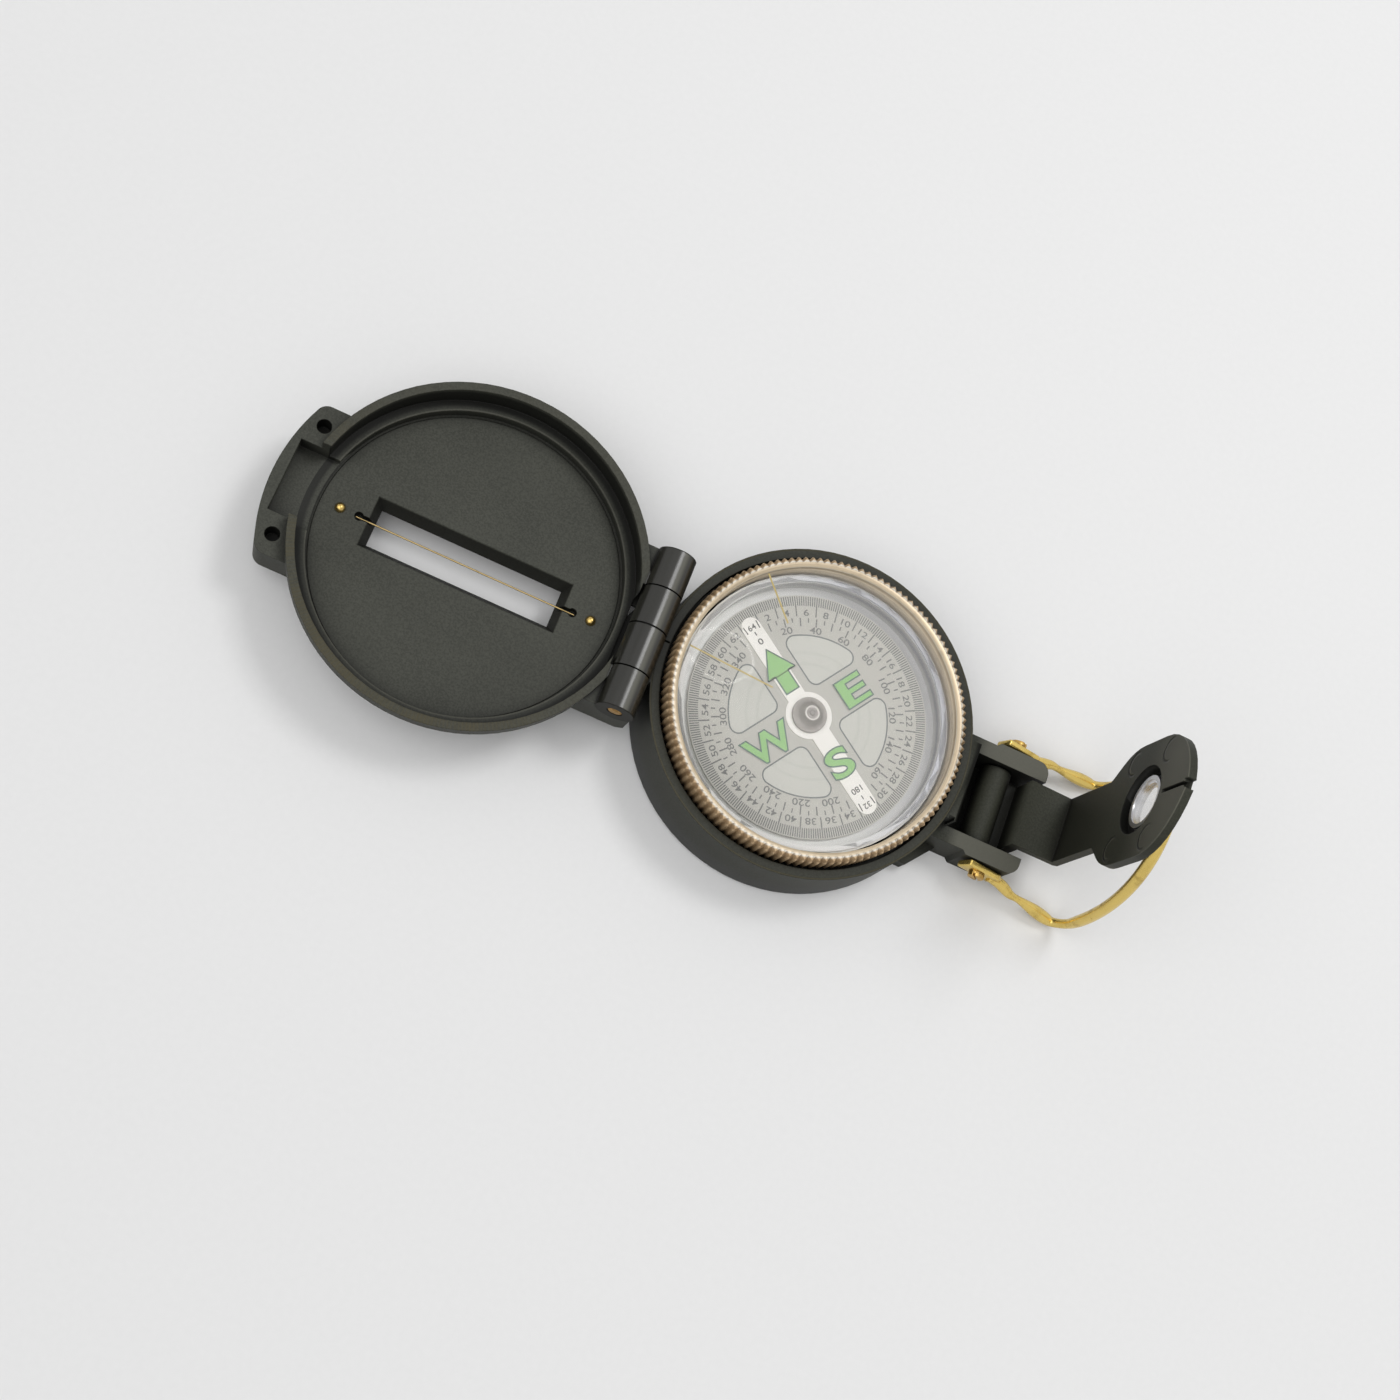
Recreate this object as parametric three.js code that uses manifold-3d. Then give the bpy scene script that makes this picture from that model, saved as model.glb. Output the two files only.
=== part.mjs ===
// Folding sighting compass: a round case with a liquid capsule and a knurled bezel, a hinged lid with a
// sighting wire, a fold-over eyepiece with a lens, and a wire thumb ring.
// Millimetres, +Z up. The origin is the centre of the case's flat bottom, +X points to the eyepiece.
// The lid lies fully open at -X, the eyepiece stands upright, and the thumb ring rests on the table.

import * as THREE from 'three';
import { mergeVertices } from 'three/addons/utils/BufferGeometryUtils.js';
import Module from 'manifold-3d';

const wasm = await Module();
wasm.setup();

// Clearances shared by every fit
const runningGap = 0.3;
const swingGap = 0.35;
const screwSeatGap = 0.05;

// How far a cutter runs past the face it opens, and how far joined stock runs into its neighbour
const cutPast = 1.0;
const joinInto = 0.2;

// Case
const caseHeight = 12.9;
const caseRimWall = 1.59;
const caseTaper = 0.5;
const caseEdgeRound = 0.9;
const caseFloor = 1.6;
const caseShoulder = 9.2;
const bezelBoreGap = 0.55;

// Liquid capsule, dial and pivot
const capsuleWall = 1.3;
const capsuleFloor = 1.4;
const capsuleRim = 12.2;
const sealThickness = 0.4;
const sealWidth = 0.8;
const coverThickness = 1.2;
const dialClearance = 1.5;
const dialThickness = 0.6;
const northHeading = 145.2;
const needleInset = 1.6;
const needleWidth = 3.4;
const needleThickness = 0.2;
const hubRadius = 3.95;
const dialHole = 2.0;
const magnetLength = 30.0;
const magnetWidth = 3.0;
const magnetThickness = 0.8;
const jewelRadius = 2.7;
const jewelHeight = 1.9;
const jewelHeadroom = 0.8;
const jewelWall = 0.5;
const jewelCrown = 0.9;
const pivotPostRadius = 0.6;
const pivotTipRadius = 0.12;
const pivotConeHeight = 1.4;
const pivotBossRadius = 2.4;
const pivotBossHeight = 2.2;

// Bezel
const bezelRadius = 25.26;
const bezelWall = 1.76;
const bezelTeeth = 128;
const toothDepth = 0.5;
const bezelSkirtGap = 1.3;
const bezelLipWidth = 2.86;
const bezelLipThickness = 1.0;
const bezelLipSlope = 1.1;
const bezelLipStep = 0.25;
const crystalThickness = 0.9;
const crystalGap = 0.4;
const springWireRadius = 0.35;
const springSplit = 2.4;

// Lid hinge, shared by case and lid
const hingeReach = 2.17;
const hingeZ = 13.6;
const knuckleRadius = 3.2;
const knuckleInner = 7.05;
const knuckleOuter = 14.1;
const knuckleGap = 0.25;
const hingePinRadius = 1.0;
const hingePinRecess = 0.7;
const knuckleGroove = 0.3;
const knuckleGrooveY = 0.4;
const hingeArmSlope = 2.6;

// Lid, measured in its own frame: origin on the table plane under the lid's centre
const lidRadius = 28.5;
const lidShoulderRadius = 27.4;
const lidFaceRadius = 25.2;
const lidFaceRound = 1.4;
const lidFace = 5.6;
const lidShoulder = 8.6;
const lidPlate = 2.3;
const lidRimWall = 1.35;
const lidLedgeWidth = 1.8;
const lidLedgeHeight = 2.0;
const lidRestGap = 0.15;
const lidBlockTop = 13.4;
const lidBlockEnd = 27.2;
const lidBlockStep = 0.6;
const lidBlockChamfer = 1.2;

// Lid tab with the channel for the eyepiece's neck
const tabRadius = 33.1;
const tabHalfWidth = 13.3;
const tabCornerRadius = 2.0;
const tabTop = 11.8;
const tabHoleRadius = 1.22;
const tabHoleDepth = 3.2;
const tabHoleX = 28.85;
const tabHoleY = 9.8;
const channelHalfWidth = 6.4;
const channelFloor = 8.7;
const channelEnd = 31.2;

// Sight window, wire and its anchor beads
const windowLength = 34.0;
const windowWidth = 9.2;
const windowBevel = 1.5;
const wireRadius = 0.15;
const wireHeight = 7.1;
const wireHoleX = 18.4;
const wireHoleRadius = 0.75;
const wireHoleDepth = 1.4;
const beadX = 21.6;
const beadRadius = 0.85;
const beadHeight = 0.8;
const beadShankRadius = 0.45;
const beadShankLength = 1.3;

// Lugs that carry the eyepiece and the thumb ring
const lugHeight = 8.2;
const lugInner = 7.0;
const lugRootOuter = 9.6;
const lugOuter = 10.2;
const lugStepReach = 4.0;
const lugReach = 14.0;
const lugCornerRadius = 2.0;
const wellFloor = 1.1;
const collarStep = 0.6;
const collarHeight = 12.3;
const gussetHeight = 3.0;
const gussetReach = 4.8;
const gussetStep = 0.8;
const gussetShoulder = 2.0;
const pocketInset = 0.9;
const pocketY = 7.0;
const pocketSize = 1.0;
const pocketFloor = 8.2;
const screwHoleDepth = 1.5;

// Eyepiece bracket
const eyePivotReach = 6.45;
const eyePivotZ = 4.25;
const eyeBarrelRadius = 2.6;
const eyePinRadius = 0.8;
const eyePinEnd = 9.2;
const legHalfWidth = 5.8;
const legThickness = 1.45;
const legReach = 4.55;
const legTop = 10.1;
const foldTop = 9.7;
const plateReach = 12.15;
const plateThickness = 1.45;
const foldChamfer = 0.6;
const riserThickness = 1.8;
const riserChamfer = 1.1;
const neckLength = 14.5;
const headHalfWidth = 10.2;
const headFull = 23.5;
const headStraightEnd = 30.5;
const headTop = 41.6;
const headTopHalf = 0.9;
const shoulderEase = 1.6;
const shoulderRun = 2.4;
const crownRun = 5.6;
const lensRise = 27.5;
const lensRecessRadius = 5.75;
const lensBossRadius = 6.7;
const lensBossDepth = 1.0;
const lensSeatRadius = 4.75;
const lensInset = 0.7;
const lensRingRadius = 4.4;
const lensRingWall = 0.7;
const lensRingBevel = 0.3;
const lensThickness = 0.9;
const lensBulge = 0.25;
const sightSlotWidth = 0.7;
const sightSlotStart = 34.2;
const sightNotchWidth = 1.6;
const sightNotchDepth = 0.9;

// Thumb ring
const ringPivotReach = 8.2;
const ringPivotZ = 5.9;
const ringWireRadius = 0.9;
const ringPlateThickness = 1.1;
const ringPlateHeight = 3.7;
const ringPlateNose = 1.0;
const ringPlateBack = 3.0;
const ringPlateFront = 3.4;
const ringJogLength = 7.4;
const ringJogY = 11.9;
const ringArmLength = 18.3;
const ringArmY = 12.9;
const ringArmDrop = 4.95;
const ringLoopHeight = 33.8;
const ringLoopBulge = 4.0;
const ringLoopLean = 1.3;
const screwShankRadius = 0.6;
const screwHeadRadius = 1.35;
const screwHeadHeight = 0.85;
const screwLength = 2.7;
const screwSlotWidth = 0.35;
const screwSlotDepth = 0.35;
const screwSlotTilt = 35;

// How finely round things are cut
const fineSegments = 80;
const hiddenSegments = 56;
const smallSegments = 24;

// Places that follow from the sizes above
const caseBoreRadius = bezelRadius + bezelBoreGap;
const caseTopRadius = caseBoreRadius + caseRimWall;
const caseBottomRadius = caseTopRadius + caseTaper;
const bezelInnerRadius = bezelRadius - bezelWall;
const bezelLipRadius = bezelRadius - bezelLipWidth;
const capsuleRadius = bezelInnerRadius - runningGap;
const capsuleCavityRadius = capsuleRadius + runningGap;
const dialRadius = capsuleRadius - capsuleWall - dialClearance;
const needleLength = 2 * (dialRadius - needleInset);
const hingeX = -(caseBottomRadius + hingeReach);
const collarX = caseBottomRadius + collarStep;
const pocketX = collarX - pocketInset;
const lugStep = collarX + lugStepReach;
const lugEnd = collarX + lugReach;
const eyePivotX = collarX + eyePivotReach;
const legStart = eyePivotX + legReach;
const plateX = eyePivotX + plateReach;
const ringPivotX = collarX + ringPivotReach;
const knuckleHole = hingePinRadius + runningGap;
const lidRim = 2 * hingeZ - caseHeight - lidRestGap;
const lidCentreX = 2 * hingeX;
const lidFloor = lidFace + lidPlate;
const lidInnerRadius = lidRadius - lidRimWall;
const lidLedgeRadius = lidInnerRadius - lidLedgeWidth;
const lidLedge = lidFloor + lidLedgeHeight;
const coverUnderside = capsuleRim + sealThickness;
const coverTop = coverUnderside + coverThickness;
const needleTop = coverUnderside - jewelHeadroom - jewelHeight;
const dialTop = needleTop - needleThickness;
const dialUnderside = dialTop - dialThickness;
const crystalUnderside = coverTop + crystalGap;
const bezelLipUnderside = crystalUnderside + crystalThickness;
const bezelTop = bezelLipUnderside + bezelLipThickness;
const bezelBottom = caseShoulder + bezelSkirtGap;
const plateBack = plateX + plateThickness;
const lensZ = foldTop + lensRise;
const ringPlateInner = lugOuter + runningGap;
const ringPlateMiddle = ringPlateInner + ringPlateThickness / 2;
const ringPlateOuter = ringPlateInner + ringPlateThickness;

// Colours and finishes
function finish(name, color, metalness, roughness, opacity = 1) {
  const material = new THREE.MeshStandardMaterial({ color, metalness, roughness, opacity });
  material.name = name;
  material.transparent = opacity < 1;
  return material;
}

const blackPlastic = finish('black_plastic', 0x2f2f2b, 0.0, 0.55);
const hingeBrass = finish('hinge_brass', 0x8a6a2c, 1.0, 0.4);
const ringBrass = finish('ring_brass', 0xcdb964, 1.0, 0.35);
const bezelMetal = finish('bezel_metal', 0xc9a887, 1.0, 0.3);
const steel = finish('steel', 0xa8a8a6, 1.0, 0.35);
const silverTrim = finish('silver_trim', 0xb4b4b8, 1.0, 0.3);
const palePlastic = finish('pale_plastic', 0xc4c2bb, 0.0, 0.45);
const dialCardStock = finish('dial_card', 0xbebdb6, 0.0, 0.6);
const whitePlastic = finish('white_plastic', 0xe6e2dc, 0.0, 0.5);
const sealRubber = finish('seal_rubber', 0x1c1c1c, 0.0, 0.9);
const clearPlastic = finish('clear_plastic', 0xe9ecef, 0.0, 0.1, 0.35);
const lensGlassFinish = finish('lens_glass', 0xe6ebed, 0.0, 0.05, 0.35);

// Turns a closed geometry into a solid, whichever way its faces were wound
function solidOf(geometry) {
  const plain = geometry.clone();
  plain.deleteAttribute('normal');
  plain.deleteAttribute('uv');
  const merged = mergeVertices(plain, 1e-4);
  const position = merged.attributes.position;
  const index = merged.index.array;
  const faces = [];
  const corners = [new THREE.Vector3(), new THREE.Vector3(), new THREE.Vector3()];
  let volume = 0;
  for (let i = 0; i < index.length; i += 3) {
    const [a, b, c] = [index[i], index[i + 1], index[i + 2]];
    if (a === b || b === c || a === c) continue;
    faces.push(a, b, c);
    [a, b, c].forEach((vertex, k) => corners[k].fromBufferAttribute(position, vertex));
    volume += corners[0].dot(corners[1].cross(corners[2])) / 6;
  }
  if (volume < 0) faces.reverse();
  return new wasm.Manifold(new wasm.Mesh({
    numProp: 3,
    vertProperties: new Float32Array(position.array),
    triVerts: new Uint32Array(faces),
  }));
}

function join(solids) {
  return solids.reduce((whole, piece) => whole.add(piece));
}

function cut(solid, cutters) {
  return cutters.reduce((rest, cutter) => rest.subtract(cutter), solid);
}

function meshOf(name, solid, material) {
  const { vertProperties, triVerts } = solid.getMesh();
  const geometry = new THREE.BufferGeometry();
  geometry.setAttribute('position', new THREE.BufferAttribute(new Float32Array(vertProperties), 3));
  geometry.setIndex(new THREE.BufferAttribute(new Uint32Array(triVerts), 1));
  geometry.computeVertexNormals();
  const mesh = new THREE.Mesh(geometry, material);
  mesh.name = name;
  return mesh;
}

function block(x0, x1, y0, y1, z0, z1) {
  const geometry = new THREE.BoxGeometry(x1 - x0, y1 - y0, z1 - z0);
  geometry.translate((x0 + x1) / 2, (y0 + y1) / 2, (z0 + z1) / 2);
  return solidOf(geometry);
}

// A turned solid about the vertical axis, from [radius, height] corners that start and end on the axis
// or close on themselves
function turned(profile, segments = fineSegments) {
  const points = profile.map(([radius, height]) => new THREE.Vector2(radius, height));
  const geometry = new THREE.LatheGeometry(points, segments);
  geometry.rotateX(Math.PI / 2);
  return solidOf(geometry);
}

function disc(radius, z0, z1, segments = fineSegments) {
  return turned([[0, z0], [radius, z0], [radius, z1], [0, z1]], segments);
}

function ring(inner, outer, z0, z1, segments = fineSegments) {
  return turned([[inner, z0], [outer, z0], [outer, z1], [inner, z1], [inner, z0]], segments);
}

// Rods along Y and along X
function rodY(x, z, radius, y0, y1, segments = smallSegments) {
  const geometry = new THREE.CylinderGeometry(radius, radius, y1 - y0, segments);
  geometry.translate(x, (y0 + y1) / 2, z);
  return solidOf(geometry);
}

function rodX(y, z, radius, x0, x1, segments = smallSegments) {
  const geometry = new THREE.CylinderGeometry(radius, radius, x1 - x0, segments);
  geometry.rotateZ(Math.PI / 2);
  geometry.translate((x0 + x1) / 2, y, z);
  return solidOf(geometry);
}

function shapeFrom(points) {
  return new THREE.Shape(points.map(([x, y]) => new THREE.Vector2(x, y)));
}

function extruded(shape, depth, curveSegments = 10) {
  return new THREE.ExtrudeGeometry(shape, { depth, bevelEnabled: false, curveSegments });
}

// A plan outline in X and Y raised from z0 to z1
function raised(shape, z0, z1, curveSegments) {
  const geometry = extruded(shape, z1 - z0, curveSegments);
  geometry.translate(0, 0, z0);
  return solidOf(geometry);
}

// A side outline in X and Z run across Y from y0 to y1
function across(shape, y0, y1, curveSegments) {
  const geometry = extruded(shape, y1 - y0, curveSegments);
  geometry.rotateX(Math.PI / 2);
  geometry.translate(0, y1, 0);
  return solidOf(geometry);
}

// A front outline in Y and Z run along X from x0 to x1
function forward(shape, x0, x1, curveSegments) {
  const geometry = extruded(shape, x1 - x0, curveSegments);
  geometry.rotateX(Math.PI / 2);
  geometry.rotateZ(Math.PI / 2);
  geometry.translate(x0, 0, 0);
  return solidOf(geometry);
}

function mirrored(solid) {
  return solid.mirror([0, 1, 0]);
}

// Case: cup, lugs, well floor, collar and the two middle knuckles of the lid hinge
function lugSolid() {
  const outline = new THREE.Shape();
  outline.moveTo(capsuleCavityRadius, lugInner);
  outline.lineTo(lugEnd, lugInner);
  outline.lineTo(lugEnd, lugOuter - lugCornerRadius);
  outline.absarc(lugEnd - lugCornerRadius, lugOuter - lugCornerRadius, lugCornerRadius, 0, Math.PI / 2);
  outline.lineTo(lugStep + (lugOuter - lugRootOuter), lugOuter);
  outline.lineTo(lugStep, lugRootOuter);
  outline.lineTo(capsuleCavityRadius, lugRootOuter);
  outline.closePath();
  return raised(outline, 0, lugHeight, 6);
}

function gussetSolid() {
  const alongCase = lugRootOuter + gussetReach;
  const stepX = collarX + gussetStep;
  const outline = shapeFrom([
    [capsuleCavityRadius, lugInner],
    [stepX, lugInner],
    [stepX, lugRootOuter + joinInto],
    [capsuleCavityRadius + gussetShoulder, alongCase],
    [capsuleCavityRadius, alongCase],
  ]);
  return raised(outline, 0, gussetHeight);
}

function caseShell() {
  const edge = caseEdgeRound;
  const cup = turned([
    [0, 0],
    [caseBottomRadius - edge, 0],
    [caseBottomRadius - edge * (1 - Math.SQRT1_2), edge * (1 - Math.SQRT1_2)],
    [caseBottomRadius, edge],
    [caseTopRadius, caseHeight],
    [0, caseHeight],
  ]);
  const lug = lugSolid();
  const gusset = gussetSolid();
  const wellBase = block(capsuleCavityRadius, lugEnd - lugCornerRadius, -lugInner, lugInner, 0, wellFloor);
  const collar = block(capsuleCavityRadius, collarX, -lugInner, lugInner, 0, collarHeight);
  const armOutline = shapeFrom([
    [-capsuleCavityRadius, hingeZ - 2 * knuckleRadius],
    [hingeX - knuckleRadius / 2 + hingeArmSlope, hingeZ - 2 * knuckleRadius],
    [hingeX - knuckleRadius / 2, hingeZ - knuckleRadius * 0.8],
    [hingeX, hingeZ],
    [hingeX + knuckleRadius, caseHeight],
    [-capsuleCavityRadius, caseHeight],
  ]);
  const arm = across(armOutline, -knuckleInner, knuckleInner);
  const knuckles = rodY(hingeX, hingeZ, knuckleRadius, -knuckleInner, knuckleInner, 40);
  const body = join([cup, lug, mirrored(lug), gusset, mirrored(gusset), wellBase, collar, arm, knuckles]);
  const above = hingeZ + knuckleRadius + cutPast;
  const capsuleRoom = disc(capsuleCavityRadius, caseFloor, above);
  const bezelRoom = disc(caseBoreRadius, caseShoulder, above);
  const pinHole = rodY(hingeX, hingeZ, knuckleHole, -knuckleOuter, knuckleOuter);
  const eyePinHole = rodY(eyePivotX, eyePivotZ, eyePinRadius + runningGap, -eyePinEnd - runningGap,
    eyePinEnd + runningGap, 20);
  const screwHole = rodY(ringPivotX, ringPivotZ, screwShankRadius + runningGap, lugOuter - screwHoleDepth,
    lugOuter + cutPast, 20);
  const seam = ring(knuckleRadius - knuckleGroove, knuckleRadius + cutPast, 0, knuckleGroove, 40)
    .rotate([90, 0, 0]).translate([hingeX, knuckleGrooveY + knuckleGroove / 2, hingeZ]);
  const pocket = block(pocketX - pocketSize / 2, pocketX + pocketSize / 2, -pocketY - pocketSize / 2,
    -pocketY + pocketSize / 2, pocketFloor, above);
  const holes = [pinHole, eyePinHole, screwHole, mirrored(screwHole), seam, pocket];
  return cut(body, [capsuleRoom, bezelRoom, ...holes]);
}

// Capsule: pale cup with the pivot boss, clear cover and its seal
function capsuleCup() {
  const outer = disc(capsuleRadius, caseFloor, capsuleRim, hiddenSegments);
  const bossBase = caseFloor + capsuleFloor;
  const bossTop = bossBase + pivotBossHeight;
  const room = disc(capsuleRadius - capsuleWall, bossBase, capsuleRim + cutPast, hiddenSegments);
  const boss = disc(pivotBossRadius, bossBase - joinInto, bossTop, smallSegments);
  const postHole = disc(pivotPostRadius + runningGap, bossBase, bossTop + cutPast, smallSegments);
  return outer.subtract(room).add(boss).subtract(postHole);
}

function capsuleSeal() {
  const inner = capsuleRadius - capsuleWall + runningGap / 2;
  return ring(inner, inner + sealWidth, capsuleRim, coverUnderside, hiddenSegments);
}

function capsuleCover() {
  return disc(capsuleRadius - runningGap / 2, coverUnderside, coverTop, hiddenSegments);
}

function pivotPost() {
  const foot = caseFloor + capsuleFloor;
  const tip = needleTop + jewelHeight - jewelWall - runningGap;
  return turned([
    [0, foot],
    [pivotPostRadius, foot],
    [pivotPostRadius, tip - pivotConeHeight],
    [pivotTipRadius, tip],
    [0, tip],
  ], 20);
}

// Dial card, needle bar with its round hub, the magnet under the card, and the jewel cup on the pivot
function dialCard() {
  return ring(dialHole, dialRadius, dialUnderside, dialTop, hiddenSegments);
}

function needleBar() {
  const half = needleLength / 2;
  const bar = needleWidth / 2;
  const outline = new THREE.Shape();
  outline.absarc(half - bar, 0, bar, -Math.PI / 2, Math.PI / 2, false);
  outline.absarc(-half + bar, 0, bar, Math.PI / 2, (3 * Math.PI) / 2, false);
  outline.closePath();
  const strip = raised(outline, dialTop, needleTop, 8);
  const hub = disc(hubRadius, dialTop, needleTop, 40);
  const hole = disc(dialHole, dialTop - cutPast, needleTop + cutPast, 32);
  return strip.add(hub).subtract(hole).rotate([0, 0, northHeading]);
}

function dialMagnet() {
  const underside = dialUnderside - magnetThickness;
  const bar = block(-magnetLength / 2, magnetLength / 2, -magnetWidth / 2, magnetWidth / 2, underside,
    dialUnderside);
  const eye = disc(magnetWidth, underside, dialUnderside, smallSegments);
  const hole = disc(dialHole, underside - cutPast, dialUnderside + cutPast, smallSegments);
  return bar.add(eye).subtract(hole).rotate([0, 0, northHeading]);
}

function jewelCup() {
  const top = needleTop + jewelHeight;
  const roof = top - jewelWall;
  const bore = pivotPostRadius + runningGap;
  return turned([
    [0, top],
    [jewelCrown, top],
    [bore + jewelWall + runningGap, needleTop + jewelWall],
    [jewelRadius, needleTop + jewelWall],
    [jewelRadius, needleTop],
    [bore + runningGap, needleTop],
    [pivotTipRadius + runningGap, roof],
    [0, roof],
  ], 32);
}

// Bezel: triangular teeth, a skirt that runs in the case bore, and an inward lip over the crystal
function bezelRing() {
  const outline = new THREE.Shape();
  outline.moveTo(bezelRadius, 0);
  for (let step = 1; step < 2 * bezelTeeth; step += 1) {
    const angle = (Math.PI * step) / bezelTeeth;
    const radius = step % 2 ? bezelRadius - toothDepth : bezelRadius;
    outline.lineTo(radius * Math.cos(angle), radius * Math.sin(angle));
  }
  outline.closePath();
  const toothed = raised(outline, bezelBottom, bezelTop);
  const slopeRadius = bezelLipRadius + bezelLipSlope;
  const opening = turned([
    [0, bezelBottom - cutPast],
    [bezelInnerRadius, bezelBottom - cutPast],
    [bezelInnerRadius, bezelLipUnderside],
    [bezelLipRadius, bezelLipUnderside],
    [slopeRadius, bezelTop - bezelLipStep],
    [slopeRadius, bezelTop + cutPast],
    [0, bezelTop + cutPast],
  ]);
  return toothed.subtract(opening);
}

function bezelCrystal() {
  return disc(bezelInnerRadius - runningGap, crystalUnderside, bezelLipUnderside);
}

// An open ring of spring wire under the bezel
function bezelSpring() {
  const radius = (capsuleRadius + caseBoreRadius) / 2;
  const height = (caseShoulder + bezelBottom) / 2;
  const wire = new THREE.TorusGeometry(radius, springWireRadius, 6, 48);
  wire.translate(0, 0, height);
  const split = block(0, caseBoreRadius, -springSplit / 2, springSplit / 2, caseShoulder, bezelBottom);
  return solidOf(wire).subtract(split);
}

// Lid, in its own frame
function tabSolid() {
  const inner = tabHalfWidth - tabCornerRadius;
  const cornerAngle = Math.asin(inner / (tabRadius - tabCornerRadius));
  const cornerX = -(tabRadius - tabCornerRadius) * Math.cos(cornerAngle);
  const root = -Math.sqrt(lidLedgeRadius ** 2 - tabHalfWidth ** 2) + cutPast;
  const outline = new THREE.Shape();
  outline.moveTo(root, -tabHalfWidth);
  outline.lineTo(cornerX, -tabHalfWidth);
  outline.absarc(cornerX, -inner, tabCornerRadius, -Math.PI / 2, Math.PI + cornerAngle, true);
  outline.absarc(0, 0, tabRadius, Math.PI + cornerAngle, Math.PI - cornerAngle, true);
  outline.absarc(cornerX, inner, tabCornerRadius, Math.PI - cornerAngle, Math.PI / 2, true);
  outline.lineTo(root, tabHalfWidth);
  outline.closePath();
  return raised(outline, lidFace, tabTop, 8);
}

function windowCutter() {
  const halfLength = windowLength / 2;
  const along = shapeFrom([
    [-halfLength + windowBevel, lidFace - joinInto],
    [halfLength - windowBevel, lidFace - joinInto],
    [halfLength, lidFloor + joinInto],
    [-halfLength, lidFloor + joinInto],
  ]);
  const halfWidth = windowWidth / 2;
  const sideways = shapeFrom([
    [-halfWidth + windowBevel, lidFace - joinInto],
    [halfWidth - windowBevel, lidFace - joinInto],
    [halfWidth, lidFloor + joinInto],
    [-halfWidth, lidFloor + joinInto],
  ]);
  return across(along, -halfWidth, halfWidth).intersect(forward(sideways, -halfLength, halfLength));
}

function lidHingeEnd() {
  const blockInner = knuckleInner + knuckleGap;
  const fromCentre = -hingeX;
  const blockEnd = -lidCentreX - lidBlockEnd;
  const blockFoot = lidFace + lidBlockStep;
  const root = Math.sqrt(lidLedgeRadius ** 2 - knuckleOuter ** 2) - cutPast;
  const outline = shapeFrom([
    [root, blockFoot],
    [blockEnd - lidBlockChamfer, blockFoot],
    [blockEnd, blockFoot + lidBlockChamfer],
    [blockEnd, lidBlockTop - lidBlockChamfer],
    [fromCentre, lidBlockTop],
    [root, lidBlockTop],
  ]);
  const arm = across(outline, blockInner, knuckleOuter);
  const knuckle = rodY(fromCentre, hingeZ, knuckleRadius, blockInner, knuckleOuter, 40);
  return arm.add(knuckle);
}

function lidShell() {
  const dish = turned([
    [0, lidFace],
    [lidFaceRadius, lidFace],
    [lidFaceRadius + lidFaceRound, lidFace + lidFaceRound * 0.65],
    [lidShoulderRadius, lidShoulder],
    [lidRadius, lidLedge + lidLedgeHeight],
    [lidRadius, lidRim],
    [0, lidRim],
  ]);
  const hingeEnd = lidHingeEnd();
  const body = join([dish, tabSolid(), hingeEnd, mirrored(hingeEnd)]);
  const fromCentre = -hingeX;
  const above = hingeZ + knuckleRadius + cutPast;
  const room = disc(lidLedgeRadius, lidFloor, above);
  const rimRoom = disc(lidInnerRadius, lidLedge, above);
  const notchSide = knuckleInner + knuckleGap;
  const notchStart = fromCentre - knuckleRadius - swingGap;
  const notch = block(notchStart, fromCentre + knuckleRadius, -notchSide, notchSide, 0, above);
  const channelRoot = -Math.sqrt(lidLedgeRadius ** 2 - channelHalfWidth ** 2) + cutPast;
  const channel = block(-channelEnd, channelRoot, -channelHalfWidth, channelHalfWidth, channelFloor, above);
  const pinHole = rodY(fromCentre, hingeZ, knuckleHole, -knuckleOuter - cutPast, knuckleOuter + cutPast);
  const cutters = [room, rimRoom, notch, channel, pinHole, windowCutter()];
  for (const side of [-1, 1]) {
    cutters.push(disc(tabHoleRadius, tabTop - tabHoleDepth, lidRim + cutPast, smallSegments)
      .translate([-tabHoleX, side * tabHoleY, 0]));
    cutters.push(disc(wireHoleRadius, lidFloor - wireHoleDepth, lidFloor + cutPast, 20)
      .translate([side * wireHoleX, 0, 0]));
    const shankHoleFloor = lidFloor - beadShankLength - runningGap;
    cutters.push(disc(beadShankRadius + runningGap, shankHoleFloor, lidFloor + cutPast, 16)
      .translate([side * beadX, 0, 0]));
  }
  const slotSide = wireRadius + runningGap;
  cutters.push(block(-wireHoleX, wireHoleX, -slotSide, slotSide, wireHeight - slotSide, lidFloor + cutPast));
  return cut(body, cutters);
}

function sightWire() {
  const end = wireHoleX + wireHoleRadius - runningGap;
  return rodX(0, wireHeight, wireRadius, -end, end, 8);
}

function anchorBead(side) {
  const profile = [[0, lidFloor - beadShankLength], [beadShankRadius, lidFloor - beadShankLength]];
  profile.push([beadShankRadius, lidFloor], [beadRadius, lidFloor]);
  for (let step = 1; step < 5; step += 1) {
    const angle = (step * Math.PI) / 10;
    profile.push([beadRadius * Math.cos(angle), lidFloor + beadHeight * Math.sin(angle)]);
  }
  profile.push([0, lidFloor + beadHeight]);
  return turned(profile, 20).translate([side * beadX, 0, 0]);
}

function lidHingePin() {
  const end = knuckleOuter - hingePinRecess;
  return rodY(hingeX, hingeZ, hingePinRadius, -end, end);
}

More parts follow.
